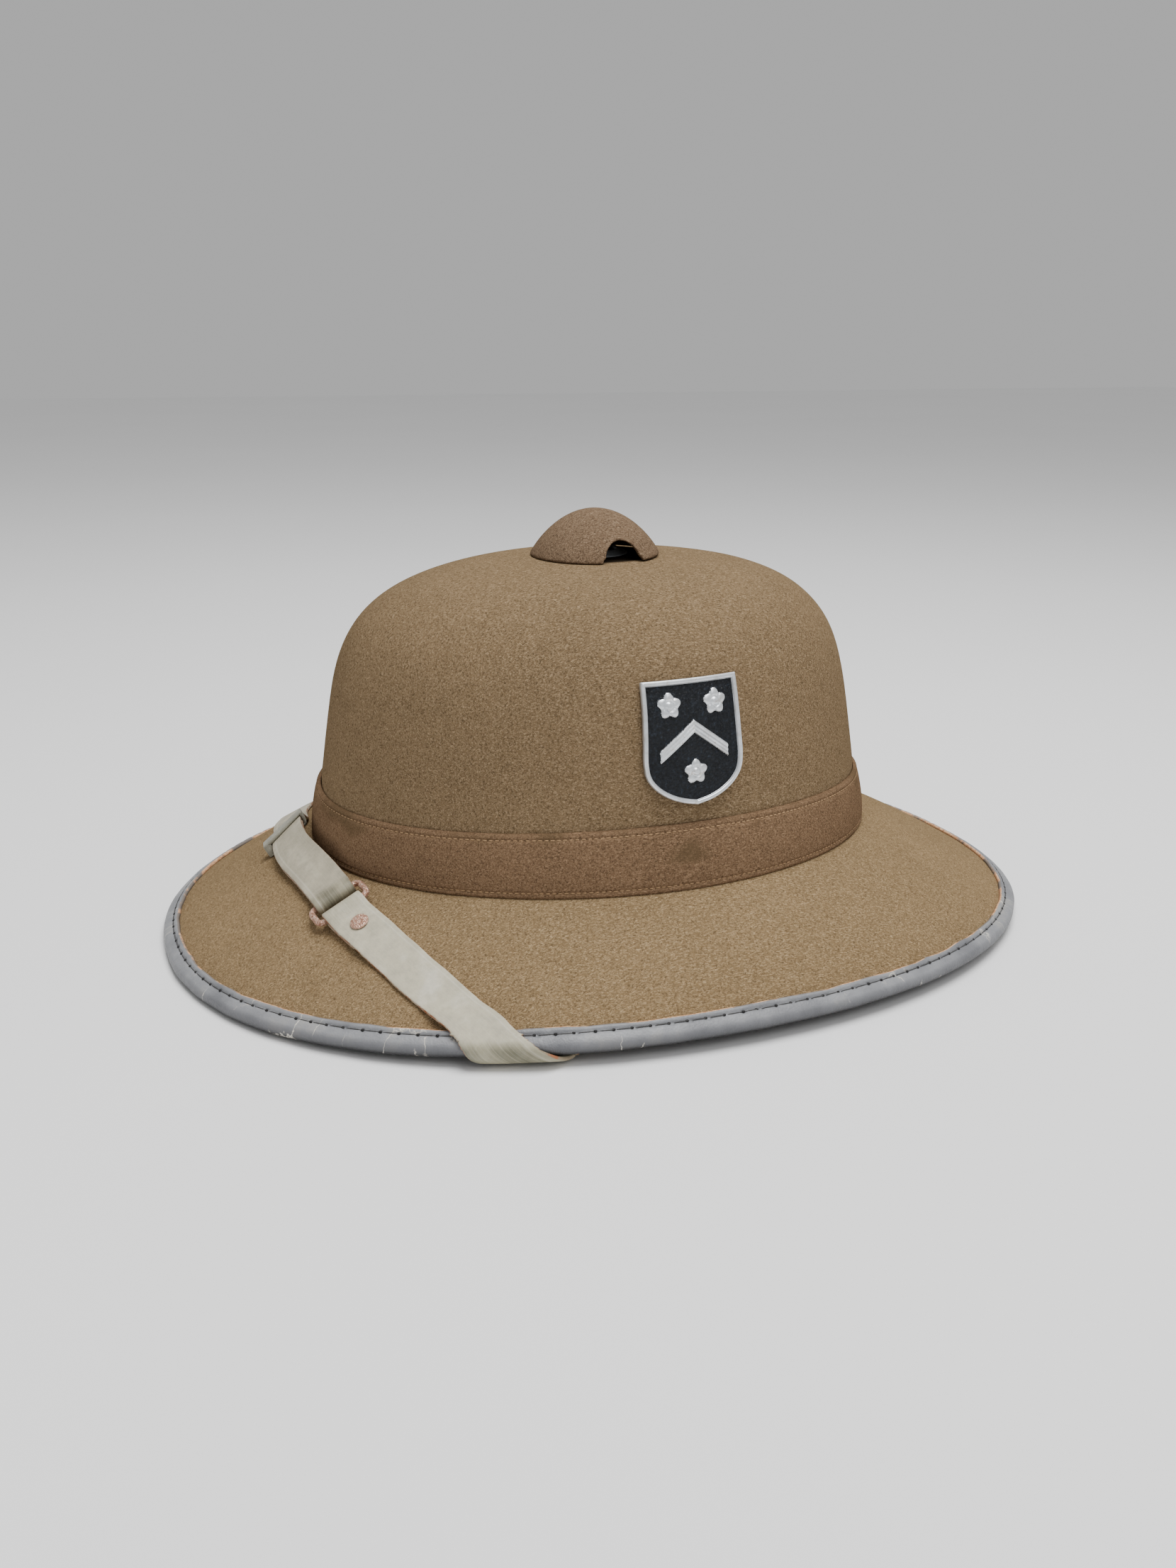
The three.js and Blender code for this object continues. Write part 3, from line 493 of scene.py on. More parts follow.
class Nodes:
    """Short hand for building a node material."""

    def __init__(self, name):
        self.material = bpy.data.materials.new(name)
        self.material.use_nodes = True
        self.tree = self.material.node_tree
        self.shader = self.tree.nodes["Principled BSDF"]

    def link(self, source, target):
        self.tree.links.new(source, target)

    def feed(self, value, socket):
        """Links an output, or sets a number or a colour."""
        if isinstance(value, (int, float)):
            socket.default_value = value
        elif isinstance(value, tuple):
            socket.default_value = (*value, 1)
        else:
            self.link(value, socket)

    def coords(self, scale=(1, 1, 1), turn=(0, 0, 0), uv=False):
        source = self.tree.nodes.new("ShaderNodeTexCoord")
        mapping = self.tree.nodes.new("ShaderNodeMapping")
        mapping.inputs["Scale"].default_value = scale
        mapping.inputs["Rotation"].default_value = turn
        self.link(source.outputs["UV" if uv else "Object"], mapping.inputs["Vector"])
        return mapping.outputs["Vector"]

    def uv_parts(self):
        split = self.tree.nodes.new("ShaderNodeSeparateXYZ")
        self.link(self.coords(uv=True), split.inputs["Vector"])
        return split.outputs["X"], split.outputs["Y"]

    def noise(self, vector, scale, detail=3, roughness=0.55, distortion=0.0):
        node = self.tree.nodes.new("ShaderNodeTexNoise")
        node.inputs["Scale"].default_value = scale
        node.inputs["Detail"].default_value = detail
        node.inputs["Roughness"].default_value = roughness
        node.inputs["Distortion"].default_value = distortion
        self.link(vector, node.inputs["Vector"])
        return node.outputs["Fac"]

    def cells(self, vector, scale, feature="F1"):
        node = self.tree.nodes.new("ShaderNodeTexVoronoi")
        node.feature = feature
        node.inputs["Scale"].default_value = scale
        self.link(vector, node.inputs["Vector"])
        return node.outputs["Distance"]

    def ramp(self, value, stops):
        node = self.tree.nodes.new("ShaderNodeValToRGB")
        ramp = node.color_ramp
        while len(ramp.elements) < len(stops):
            ramp.elements.new(0.5)
        for element, (spot, colour) in zip(ramp.elements, stops):
            element.position = spot
            element.color = (*colour, 1)
        self.link(value, node.inputs["Fac"])
        return node.outputs["Color"]

    def greys(self, value, stops):
        return self.ramp(value, [(spot, grey(level)) for spot, level in stops])

    def mask(self, value, black_at, white_at):
        return self.ramp(value, sorted([(black_at, BLACK), (white_at, WHITE)]))

    def weaker(self, mask, share):
        return self.mix("MULTIPLY", 1.0, mask, grey(share))

    def mix(self, kind, factor, a, b):
        node = self.tree.nodes.new("ShaderNodeMix")
        node.data_type = "RGBA"
        node.blend_type = kind
        # Sockets 0, 6 and 7 are the factor and the two colours, and output 2 is the colour.
        for index, value in ((0, factor), (6, a), (7, b)):
            self.feed(value, node.inputs[index])
        return node.outputs[2]

    def maths(self, operation, a, b=0.5, c=0.5):
        node = self.tree.nodes.new("ShaderNodeMath")
        node.operation = operation
        for socket, value in zip(node.inputs, (a, b, c)):
            self.feed(value, socket)
        return node.outputs[0]

    def bump(self, height, strength, distance, normal=None):
        node = self.tree.nodes.new("ShaderNodeBump")
        node.inputs["Strength"].default_value = strength
        node.inputs["Distance"].default_value = distance
        self.link(height, node.inputs["Height"])
        if normal is not None:
            self.link(normal, node.inputs["Normal"])
        return node.outputs["Normal"]

    def finish(self, colour, roughness, normal=None, **constants):
        for value, socket in ((colour, "Base Color"), (roughness, "Roughness"), (normal, "Normal")):
            if value is not None:
                self.feed(value, self.shader.inputs[socket])
        for key, value in constants.items():
            self.shader.inputs[key.replace("_", " ")].default_value = value
        return self.material


# Colour from 8-bit screen values.
def linear(r, g, b):
    return tuple(((c / 255 + 0.055) / 1.055) ** 2.4 if c > 10 else c / 255 / 12.92 for c in (r, g, b))


def scaled(colour, factor):
    return tuple(c * factor for c in colour)


# Pressed felt: broad patches, mottling, light fibres in three directions, dark pores and small clumps.
def felt(name, body, light, dark, stain=None, shade_under_cap=False):
    n = Nodes(name)
    base = n.coords()
    patches = n.ramp(n.noise(base, 22, 3, 0.5), [(0.34, scaled(body, 0.9)), (0.66, scaled(body, 1.1))])
    mottle = n.noise(base, 150, 4, 0.65)
    mottled = n.mix("MIX", n.mask(mottle, 0.38, 0.62), scaled(body, 0.86), scaled(body, 1.12))
    mixed = n.mix("MIX", 0.3, patches, mottled)
    fibres = []
    for turn, share in FIBRE_LAYERS:
        fibres.append(n.noise(n.coords(FIBRE_STRETCH, turn), FIBRE_SCALE * share, 2, 0.6, 0.6))
    woven = n.maths("MAXIMUM", n.maths("MAXIMUM", fibres[0], fibres[1]), fibres[2])
    mixed = n.mix("MIX", n.weaker(n.mask(woven, 0.54, 0.7), 0.75), mixed, light)
    pores = n.noise(base, 1500, 3, 0.7)
    mixed = n.mix("MIX", n.weaker(n.mask(pores, 0.5, 0.34), 0.7), mixed, dark)
    clumps = n.greys(n.noise(base, 1150, 3, 0.65), [(0.36, 0.88), (0.64, 1.11)])
    mixed = n.mix("MULTIPLY", 1.0, mixed, clumps)
    if stain is not None:
        patch = n.noise(n.coords((1, 1, 1.8)), 31, 2, 0.5)
        mixed = n.mix("MIX", n.weaker(n.mask(patch, 0.58, 0.68), 0.6), mixed, stain)
    if shade_under_cap:
        away = n.tree.nodes.new("ShaderNodeVectorMath")
        away.operation = "DISTANCE"
        n.link(n.coords(), away.inputs[0])
        away.inputs[1].default_value = (0, TOP_Y * MM, VENT_Z * MM)
        share = n.maths("MULTIPLY", away.outputs["Value"], 10)
        mixed = n.mix("MIX", n.mask(share, SHADE_END, SHADE_FULL), mixed, linear(40, 33, 26))
    height = n.maths("ADD", n.maths("MULTIPLY", woven, 0.7), n.maths("MULTIPLY", pores, 0.6))
    normal = n.bump(height, 0.55, 0.0005, n.bump(mottle, 0.25, 0.0008))
    return n.finish(mixed, 0.95, normal, Specular_IOR_Level=0.0)


# Coated binding: painted shade darkens it down the roll, with a few pale cracks across it.
def binding_leather():
    n = Nodes("binding_grey")
    base = n.coords()
    tone = n.noise(base, 60, 4, 0.6)
    across, _ = n.uv_parts()
    # Painted shade: from the top of the roll, down its outer face and along its underside, the colour is made
    # nearly black.
    roll = n.ramp(across, [
        (0.0, (0.8, 0.8, 0.81)),
        (0.36, (0.84, 0.84, 0.85)),
        (0.44, (0.5, 0.5, 0.52)),
        (0.53, (0.1, 0.1, 0.105)),
    ])
    coat = n.ramp(tone, [
        (0.3, linear(124, 125, 128)),
        (0.55, linear(150, 151, 153)),
        (0.75, linear(172, 170, 164)),
    ])
    colour = n.mix("MULTIPLY", 1.0, coat, roll)
    warp = n.tree.nodes.new("ShaderNodeTexNoise")
    warp.inputs["Scale"].default_value = 700
    n.link(base, warp.inputs["Vector"])
    bent = n.mix("ADD", 0.12, n.coords((0.5, 0.09, 1), uv=True), warp.outputs["Color"])
    crack_line = n.mask(n.cells(bent, 1.0, "DISTANCE_TO_EDGE"), 0.014, 0.0)
    crack_zone = n.mask(n.noise(base, 60, 3, 0.6), 0.53, 0.6)
    crack = n.mix("MULTIPLY", 1.0, crack_line, crack_zone)
    colour = n.mix("MIX", crack, colour, linear(214, 208, 196))
    grain = n.cells(base, 1500)
    fine = n.noise(base, 900, 4, 0.65)
    height = n.maths("ADD", n.maths("MULTIPLY", grain, 0.6), n.maths("MULTIPLY", fine, 0.7))
    normal = n.bump(height, 0.45, 0.0003, n.bump(tone, 0.3, 0.0012))
    rough = n.greys(fine, [(0.3, 0.36), (0.7, 0.55)])
    return n.finish(colour, rough, normal, Specular_IOR_Level=0.45)


def raw_leather():
    n = Nodes("binding_raw_edge")
    base = n.coords()
    patch = n.mask(n.noise(base, 75, 3, 0.6), 0.45, 0.52)
    bare = n.ramp(n.noise(base, 900, 3, 0.6), [(0.35, linear(176, 120, 78)), (0.65, linear(222, 186, 150))])
    return n.finish(n.mix("MIX", patch, linear(118, 110, 104), bare), 0.7)


# Strap leather: grey-green paint, paler where worn, wrinkled and darkened by painted shade where it folds,
# ribbed and raw at the edges.
def strap_leather(name, body, worn, edge):
    n = Nodes(name)
    base = n.coords()
    tone = n.noise(base, 90, 4, 0.6)
    colour = n.ramp(tone, [(0.32, scaled(body, 0.84)), (0.52, body), (0.68, worn)])
    spots = n.ramp(n.noise(base, 420, 4, 0.65), [(0.34, (0.9, 0.91, 0.9)), (0.6, (1.04, 1.04, 1.03))])
    colour = n.mix("MULTIPLY", 1.0, colour, spots)
    # Painted shade: this attribute darkens the leather, in a wrinkled pattern, where the strap bends round
    # the rim and the ring; it also scales the wrinkle bumps there.
    fold_shade = n.tree.nodes.new("ShaderNodeAttribute")
    fold_shade.attribute_name = "fold_shade"
    wrinkle = n.noise(n.coords((0.16, 1.5, 1), uv=True), 1.6, 3, 0.6, 0.4)
    shade = n.ramp(wrinkle, [(0.4, (0.34, 0.35, 0.31)), (0.58, (0.68, 0.68, 0.63))])
    fold_shaded = n.mix("MULTIPLY", 1.0, colour, shade)
    colour = n.mix("MIX", fold_shade.outputs["Fac"], colour, fold_shaded)
    streak = n.noise(n.coords((1, 0.12, 1), uv=True), 2.2, 3, 0.6)
    colour = n.mix("MIX", n.weaker(n.mask(streak, 0.5, 0.75), 0.4), colour, worn)
    side, along = n.uv_parts()
    side = n.maths("ABSOLUTE", side)
    off_rib = n.maths("ABSOLUTE", n.maths("SUBTRACT", side, RIB_SIDE))
    beat = n.maths("SINE", n.maths("MULTIPLY", along, RIB_BEAT))
    ribs = n.maths("MULTIPLY", n.mask(off_rib, RIB_HALF, 0.0), n.maths("MULTIPLY_ADD", beat, 0.5, 0.5))
    rib_zone = n.mask(n.noise(n.coords((0.3, 0.05, 1), uv=True), 1.0, 1, 0.5), 0.42, 0.55)
    ribs = n.maths("MULTIPLY", ribs, rib_zone)
    colour = n.mix("MIX", n.maths("MULTIPLY", ribs, 0.5), colour, linear(226, 222, 208))
    at_edge = n.mask(n.maths("SUBTRACT", side, STRAP_WIDTH / 2 - RAW_EDGE), 0.0, 0.12)
    edge_noise = n.greys(n.noise(base, 260, 3, 0.6), [(0.4, 0.2), (0.6, 1)])
    colour = n.mix("MIX", n.mix("MULTIPLY", 1.0, at_edge, edge_noise), colour, edge)
    grain = n.cells(base, 1900)
    fine = n.noise(base, 1200, 3, 0.6)
    height = n.maths("ADD", n.maths("MULTIPLY", grain, 0.4), n.maths("MULTIPLY", fine, 0.5))
    folded = n.bump(n.maths("MULTIPLY", wrinkle, fold_shade.outputs["Fac"]), 0.8, 0.0007)
    normal = n.bump(height, 0.22, 0.0002, n.bump(ribs, 0.35, 0.00025, n.bump(tone, 0.15, 0.0006, folded)))
    rough = n.greys(fine, [(0.3, 0.46), (0.7, 0.66)])
    return n.finish(colour, rough, normal, Specular_IOR_Level=0.35)


def copper(name):
    n = Nodes(name)
    base = n.coords()
    tone = n.noise(base, 1300, 4, 0.65)
    colour = n.ramp(tone, [
        (0.34, linear(140, 98, 78)),
        (0.5, linear(190, 148, 126)),
        (0.66, linear(226, 200, 182)),
    ])
    pits = n.cells(base, 1900)
    normal = n.bump(n.maths("ADD", pits, n.maths("MULTIPLY", tone, 0.6)), 0.7, 0.0003)
    rough = n.greys(tone, [(0.3, 0.6), (0.7, 0.36)])
    return n.finish(colour, rough, normal, Metallic=0.55)


def grey_paint(name, colour):
    n = Nodes(name)
    base = n.coords()
    tone = n.noise(base, 350, 4, 0.6)
    worn = n.mask(n.noise(base, 700, 4, 0.7), 0.6, 0.7)
    shade = n.ramp(tone, [(0.3, scaled(colour, 0.85)), (0.7, scaled(colour, 1.12))])
    shade = n.mix("MIX", n.weaker(worn, 0.6), shade, linear(205, 202, 194))
    return n.finish(shade, 0.48, n.bump(tone, 0.3, 0.0002), Metallic=0.1)


def badge_metal():
    n = Nodes("badge_silver")
    base = n.coords()
    tone = n.noise(base, 260, 4, 0.65)
    colour = n.ramp(tone, [
        (0.3, linear(196, 197, 196)),
        (0.52, linear(222, 226, 230)),
        (0.72, linear(238, 241, 244)),
    ])
    wear = n.mask(n.noise(base, 520, 4, 0.7), 0.56, 0.68)
    colour = n.mix("MIX", n.weaker(wear, 0.5), colour, linear(176, 158, 132))
    fine = n.noise(base, 2200, 3, 0.6)
    normal = n.bump(fine, 0.25, 0.00012, n.bump(tone, 0.3, 0.0003))
    rough = n.greys(tone, [(0.3, 0.42), (0.7, 0.26)])
    return n.finish(colour, rough, normal, Metallic=0.6)


def badge_dark():
    n = Nodes("badge_black")
    base = n.coords()
    tone = n.noise(base, 900, 3, 0.6)
    colour = n.ramp(tone, [(0.35, linear(12, 14, 17)), (0.6, linear(24, 28, 34)), (0.75, linear(44, 52, 62))])
    normal = n.bump(n.cells(base, 1150), 0.8, 0.0004)
    return n.finish(colour, 0.5, normal, Specular_IOR_Level=0.25)


def thread(name, colour):
    n = Nodes(name)
    twist = n.noise(n.coords(), 2600, 2, 0.6)
    shade = n.ramp(twist, [(0.35, scaled(colour, 0.7)), (0.65, scaled(colour, 1.2))])
    return n.finish(shade, 0.8, n.bump(twist, 0.4, 0.0002))


def dull_metal(name, colour):
    n = Nodes(name)
    tone = n.noise(n.coords(), 500, 4, 0.6)
    shade = n.ramp(tone, [(0.3, scaled(colour, 0.8)), (0.7, scaled(colour, 1.15))])
    return n.finish(shade, 0.45, n.bump(tone, 0.25, 0.0002), Metallic=0.7)


felt_crown = felt(
    "felt_crown",
    body=linear(112, 93, 69),
    light=linear(173, 150, 119),
    dark=linear(65, 53, 38),
    shade_under_cap=True,
)
felt_brim = felt("felt_brim", linear(123, 102, 74), linear(186, 162, 126), linear(74, 60, 43))
felt_band = felt(
    "felt_band",
    body=linear(108, 86, 65),
    light=linear(158, 130, 102),
    dark=linear(64, 49, 37),
    stain=linear(86, 71, 51),
)
felt_cap = felt("felt_cap", linear(104, 85, 67), linear(158, 136, 112), linear(62, 50, 39))
binding_look = binding_leather()
strap_short_look = strap_leather(
    "strap_short_paint",
    body=linear(188, 181, 159),
    worn=linear(202, 196, 179),
    edge=linear(150, 96, 66),
)
strap_long_look = strap_leather(
    "strap_long_paint",
    body=linear(174, 166, 146),
    worn=linear(190, 182, 162),
    edge=linear(140, 100, 74),
)
copper_look = copper("ring_copper")
clip_look = grey_paint("clip_paint", linear(150, 148, 134))
eyelet_look = grey_paint("eyelet_paint", linear(112, 116, 118))
silver_look = badge_metal()
black_look = badge_dark()
band_thread_look = thread("band_thread", linear(166, 134, 96))
rim_thread_look = thread("rim_thread", linear(70, 69, 68))
raw_edge_look = raw_leather()
# Near-black painted shade for the needle holes of the binding and the inside of the vent tube.
hole_shade_look = thread("stitch_hole_shade", linear(26, 24, 23))
anchor_look = dull_metal("anchor_dull", linear(140, 130, 114))


def place(obj, look, slot_name, *nodes):
    obj.data.materials.clear()
    obj.data.materials.append(look)
    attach(obj, "root")
    if nodes:
        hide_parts(*nodes)
    return obj


# Gives the faces marked 1 a second material.
def second_look(obj, look, marks):
    obj.data.materials.append(look)
    obj.data.polygons.foreach_set("material_index", marks.ravel())


# Crown

def make_crown():
    outer = np.concatenate([np.linspace(1, 20, 12), np.linspace(22, 86, 34)])
    inner = outer[::-2]
    section = [foot_turn(angles, 180, CROWN_WALL / 2)]
    section += [crown_at(angles, rise, 0) for rise in (0.02, 0.07, 0.12, 0.165)]
    section += [crown_at(angles, rise_of_turn(t), 0) for t in outer]
    section += [top_point(angles, HOLE_DIAMETER / 2, lift) for lift in (0, -CROWN_WALL)]
    section += [crown_at(angles, rise_of_turn(t), -CROWN_WALL) for t in inner]
    section += [crown_at(angles, 0.02, -CROWN_WALL)]
    section += [foot_turn(angles, t, CROWN_WALL / 2) for t in (0, 30, 60, 90, 120, 150)]
    loops = round_loops(section)
    outward = unit(loops - np.array([0, CROWN_Y, CROWN_HUB_Z]))
    dents = waves(loops, 90, 0.22, 3) + waves(loops, 30, 0.05, 4)
    loops = loops + outward * dents[..., None]
    return place(loft("crown_felt", loops), felt_crown, "felt", "crown")


def make_brim():
    half = BRIM_WALL / 2
    seat = seat_at(angles)
    root = brim_at(angles, brim_share(angles, GAP + 0.15, -half), -half)
    top = np.linspace(0, 1, 30)[1:-1]
    start = brim_share(angles, GAP + COLLAR_WALL, half)
    section = [
        crown_at_height(angles, root[..., 2] + 0.5, GAP),
        crown_at_height(angles, seat + COLLAR_HEIGHT, GAP),
        crown_at_height(angles, seat + COLLAR_HEIGHT, GAP + COLLAR_WALL * 0.6),
        brim_at(angles, start, half),
    ]
    section += [brim_at(angles, mix(start, 1, t), half) for t in top]
    section += [rim_turn(angles, half, t) for t in (90, 60, 30, 0, -30, -60, -90)]
    section += [brim_at(angles, mix(start, 1, t), -half) for t in top[::-1]]
    section += [root]
    loops = round_loops(section)
    reach = np.hypot(loops[..., 0], loops[..., 1] - CROWN_Y)
    fade = ease(reach, *WAVES_BEGIN) * (1 - ease(reach, *WAVES_END))
    loops[..., 2] += waves(loops * [1, 1, 0], 110, 0.25, 5) * fade
    return place(loft("brim_felt", loops), felt_brim, "brim_felt", "brim")


# Band with a rounded fold at both edges and a groove under each row of stitches.
def band_face(share, out_more=0.0):
    lift = BRIM_WALL / 2 + GAP
    low = band_low(angles)
    low_z = brim_at(angles, brim_share(angles, low, lift), lift)[..., 2]
    top = BAND_TOP - BAND_SADDLE * np.cos(2 * angles)
    out = mix(low, GAP + BAND_WALL, max(share, 0) ** 1.8) + out_more
    return crown_at_height(angles, mix(low_z, top, share), out)


def groove(share):
    near = [math.exp(-(((share - row) / 0.02) ** 2)) for row in (STITCH_LOW, STITCH_HIGH)]
    return -STITCH_GROOVE * sum(near)


def make_band():
    lift = BRIM_WALL / 2 + GAP
    low = band_low(angles)
    section = [brim_at(angles, brim_share(angles, low - BAND_WALL, lift), lift)]
    section += [brim_at(angles, brim_share(angles, low - 0.2, lift), lift)]
    parts = [(0.025, 0.15, 9), (0.18, 0.82, 18), (0.85, 0.975, 9)]
    shares = np.concatenate([np.linspace(*part) for part in parts])
    puff = [0.25 * math.sin(math.pi * min(max(s, 0), 1)) ** 0.5 for s in shares]
    section += [band_face(s, groove(s) + p - 0.12) for s, p in zip(shares, puff)]
    section += [band_face(0.993, -0.32), band_face(1.004, -0.65), band_face(1.012, -1.0)]
    section += [band_face(1.016, 0.12 - GAP - BAND_WALL)]
    section += [band_face(s, -BAND_WALL) for s in (0.8, 0.6, 0.4, 0.2)]
    loops = round_loops(section)
    # The inner skin, the last rows, stays smooth.
    loops[:, 1:-5, :2] *= (1 + waves(loops[:, 1:-5], 26, 0.0012, 8) * 0.5)[..., None]
    return place(loft("band_felt", loops), felt_band, "band_felt", "hat_band")


# Small rounded stitches along a closed line of points, lying on the surface normal.
def stitches(name, line, normals, pitch, length, thick, sink):
    closed = np.vstack([line, line[:1]])
    run = runs(closed)
    count = int(round(run[-1] / pitch))
    rng = np.random.default_rng(11)
    spin = turns(6)[:, None]
    verts, faces = [], []
    for i in range(count):
        begin = (i + 0.5) * run[-1] / count + rng.normal() * pitch * 0.03
        rings = []
        for t, wide in STITCH_PROFILE:
            s = (begin + (t - 0.5) * length) % run[-1]
            k = min(max(np.searchsorted(run, s, side="right") - 1, 0), len(line) - 1)
            centre = mix(closed[k], closed[k + 1], (s - run[k]) / max(run[k + 1] - run[k], TINY))
            across = unit(np.cross(unit(closed[k + 1] - closed[k]), normals[k]))
            arch = math.sin(math.pi * t) * sink * 1.6
            half = thick * wide / 2
            rise = np.sin(spin) * half + arch - sink
            rings.append(centre + across * np.cos(spin) * half + normals[k] * rise)
        add_body(verts, faces, rings)
    obj = new_object(name, verts, faces)
    fix_normals(obj)
    return obj


def outward_of(line):
    ahead = unit(np.roll(line, -1, 0) - np.roll(line, 1, 0))
    return unit(np.cross(ahead, np.array([0, 0, 1.0])))


def make_band_stitches():
    for name, row in (("band_stitches_low", STITCH_LOW), ("band_stitches_high", STITCH_HIGH)):
        line = band_face(row, groove(row) + 0.08)
        out = outward_of(line)
        out *= np.sign(dot(out, line - np.array([0, CROWN_Y, line[0, 2]])))[..., None]
        obj = stitches(name, line, out, *BAND_THREAD)
        place(obj, band_thread_look, "band_felt")


# Top of the binding at one distance from the rim, dented at each needle hole.
def binding_top(a, out, hole):
    up = ROLL - 0.1 + 0.1 * ease(out, -3.5, 0)
    near = math.exp(-(((out + BINDING_STITCH) / 0.8) ** 2))
    return rim_at(a, out, up - near * (0.34 + 0.6 * hole) + 0.16 * (1 - hole) * (out < -3))


# Binding: rolled leather edge, dimpled along its stitch line, with a thin raw inner edge.
def binding_loops():
    inner = BRIM_WALL / 2 + GAP
    a = turns(BINDING_AROUND)
    line = rim_at(a, -BINDING_STITCH, ROLL)
    run = runs(line, closed=True)
    pitches = round(run[-1] / RIM_PITCH)
    phase = run[:-1] / run[-1] * pitches * 2 * math.pi
    hole = np.clip(np.cos(phase), 0, 1) ** 6
    rng = np.random.default_rng(2)
    knots = np.arange(0, BINDING_AROUND, 6)
    ripple = np.interp(np.arange(BINDING_AROUND), knots, rng.normal(size=len(knots)), period=BINDING_AROUND)
    edge = -BINDING_LEG + 0.16 * ripple
    raw = [(0, inner - 0.28), (-0.04, ROLL - 0.75), (0.05, ROLL - 0.42), (0.35, ROLL - 0.26)]
    columns = [rim_at(a, edge + more, height) for more, height in raw]
    for out in (-3.9, -3.5, -3.2, -2.9, -2.7, -2.5, -2.3, -2.1, -1.8, -1.4, -0.9, -0.4):
        columns.append(binding_top(a, out, hole))
    columns += [rim_turn(a, ROLL, turn) for turn in range(90, -100, -10)]
    columns += [rim_at(a, out, -ROLL) for out in (-1.2, -2.4, -3.6, -BINDING_LEG)]
    columns.append(rim_at(a, -BINDING_LEG, -inner))
    columns += [rim_turn(a, inner, turn) for turn in (-90, -60, -30, 0, 30, 60, 90)]
    loops = round_loops(columns)
    centre, _, up = rim_frame(a)
    ray = unit(loops - centre[:, None])
    # The inner skin, the last rows, has no bumps.
    skin = np.ones(loops.shape[1])
    skin[-8:] = 0
    bumpy = waves(loops, 9, 0.05, 21) + waves(loops, 34, 0.1, 22)
    loops = loops + ray * (np.minimum(bumpy, 0.12) * skin)[..., None]
    loops[..., 2] = np.maximum(loops[..., 2], 0)
    shares = np.linspace(0, 1, loops.shape[1])
    uvs = np.stack(np.broadcast_arrays(shares[None, :], run[:-1, None]), -1)
    return a, loops, line, up, uvs


def make_binding():
    a, loops, line, up, uvs = binding_loops()
    rim = place(loft("rim_binding", loops, None, uvs), binding_look, "binding", "brim_binding")
    marks = np.zeros(loops.shape[:2], dtype=np.int32)
    marks[:, :3] = 1
    second_look(rim, raw_edge_look, marks)
    seam = stitches("rim_stitches", rim_at(a, -BINDING_STITCH, ROLL - 0.34), up, *RIM_THREAD)
    place(seam, rim_thread_look, "binding")
    # Each needle hole gets a small near-black body sunk into its dent: painted shade in the hole.
    run = runs(line, closed=True)
    count = int(round(run[-1] / RIM_PITCH))
    spin = turns(10)[:, None]
    verts, faces = [], []
    for i in range(count):
        k = min(np.searchsorted(run, i * run[-1] / count + 1e-6, side="right") - 1, len(line) - 1)
        ahead = unit(line[(k + 1) % len(line)] - line[k])
        across = unit(np.cross(ahead, up[k]))
        centre = rim_at(a[k : k + 1], -BINDING_STITCH, ROLL - 0.3)[0]
        oval = ahead * np.cos(spin) * HOLE_HALVES[0] + across * np.sin(spin) * HOLE_HALVES[1]
        add_body(verts, faces, [centre + oval, centre + oval * HOLE_TAPER - up[k] * HOLE_DEPTH])
    holes = new_object("rim_stitch_holes", verts, faces)
    fix_normals(holes)
    place(holes, hole_shade_look, "binding")


# Cap: a dense dome, cut by the arch, then remeshed and smoothed so that its felt edges are soft.
def cap_point(angle, turn, inset):
    radius = CAP_DIAMETER / 2 - inset
    foot = top_point(angle, CAP_DIAMETER / 2, GAP)[..., 2]
    top = top_height(np.zeros(1), np.full(1, TOP_Y))[0] + GAP + CAP_HEIGHT - inset
    share = np.sin(np.radians(turn)) ** CAP_BELL
    wide = radius * np.cos(np.radians(turn))
    return vec(wide * np.sin(angle), TOP_Y - wide * np.cos(angle), mix(foot, top, share))


def make_cap():
    a = turns(CAP_AROUND)
    outer = [cap_point(a, t, 0) for t in (86, 80, 74, 68, 62, 56, 50, 44, 38, 32, 26, 20, 15)]
    foot = [(0.25, 1.1), (0.1, 0.7), (0.3, 0.35), (0.9, 0.1), (1.8, 0.05)]
    outer += [top_point(a, CAP_DIAMETER / 2 - inward, lift) for inward, lift in foot]
    inner = [cap_point(a, t, CAP_WALL) for t in (4, 14, 26, 38, 50, 62, 74, 84)]
    zero = np.zeros(1)
    tips = np.vstack([cap_point(zero, 90, 0), cap_point(zero, 90, CAP_WALL)])
    dome = loft("cap_felt", outer + inner, tips)
    base = top_height(np.zeros(1), np.full(1, TOP_Y))[0] + GAP
    side = base + ARCH_HEIGHT - 2 - ARCH_WIDTH / 2
    half = ARCH_WIDTH / 2
    outline = [(-half - 1.6, base - 6), (-half - 1.0, base + 0.3), (-half, base + 1.7)]
    for t in np.radians(range(170, 0, -10)):
        outline.append((half * math.cos(t), side + half * math.sin(t)))
    outline += [(-y, z) for y, z in outline[2::-1]]
    loops = [[(x, TOP_Y + ARCH_BACK + y, z) for y, z in outline] for x in (-40, 40)]
    ends = [np.mean(loop, axis=0) for loop in loops]
    tool = loft("arch_tool", loops, np.asarray(ends))
    cutter = dome.modifiers.new("arch", "BOOLEAN")
    cutter.operation = "DIFFERENCE"
    cutter.object = tool
    remesh = dome.modifiers.new("felted", "REMESH")
    remesh.mode = "VOXEL"
    remesh.voxel_size = FELT_VOXEL * MM
    smooth = dome.modifiers.new("soft", "SMOOTH")
    smooth.factor = 0.5
    smooth.iterations = 22
    bpy.context.view_layer.update()
    mesh = bpy.data.meshes.new_from_object(dome.evaluated_get(bpy.context.evaluated_depsgraph_get()))
    dome.modifiers.clear()
    dome.data = mesh
    mesh.polygons.foreach_set("use_smooth", [True] * len(mesh.polygons))
    bpy.data.objects.remove(tool)
    place(dome, felt_cap, "cap_felt", "vent_cap")


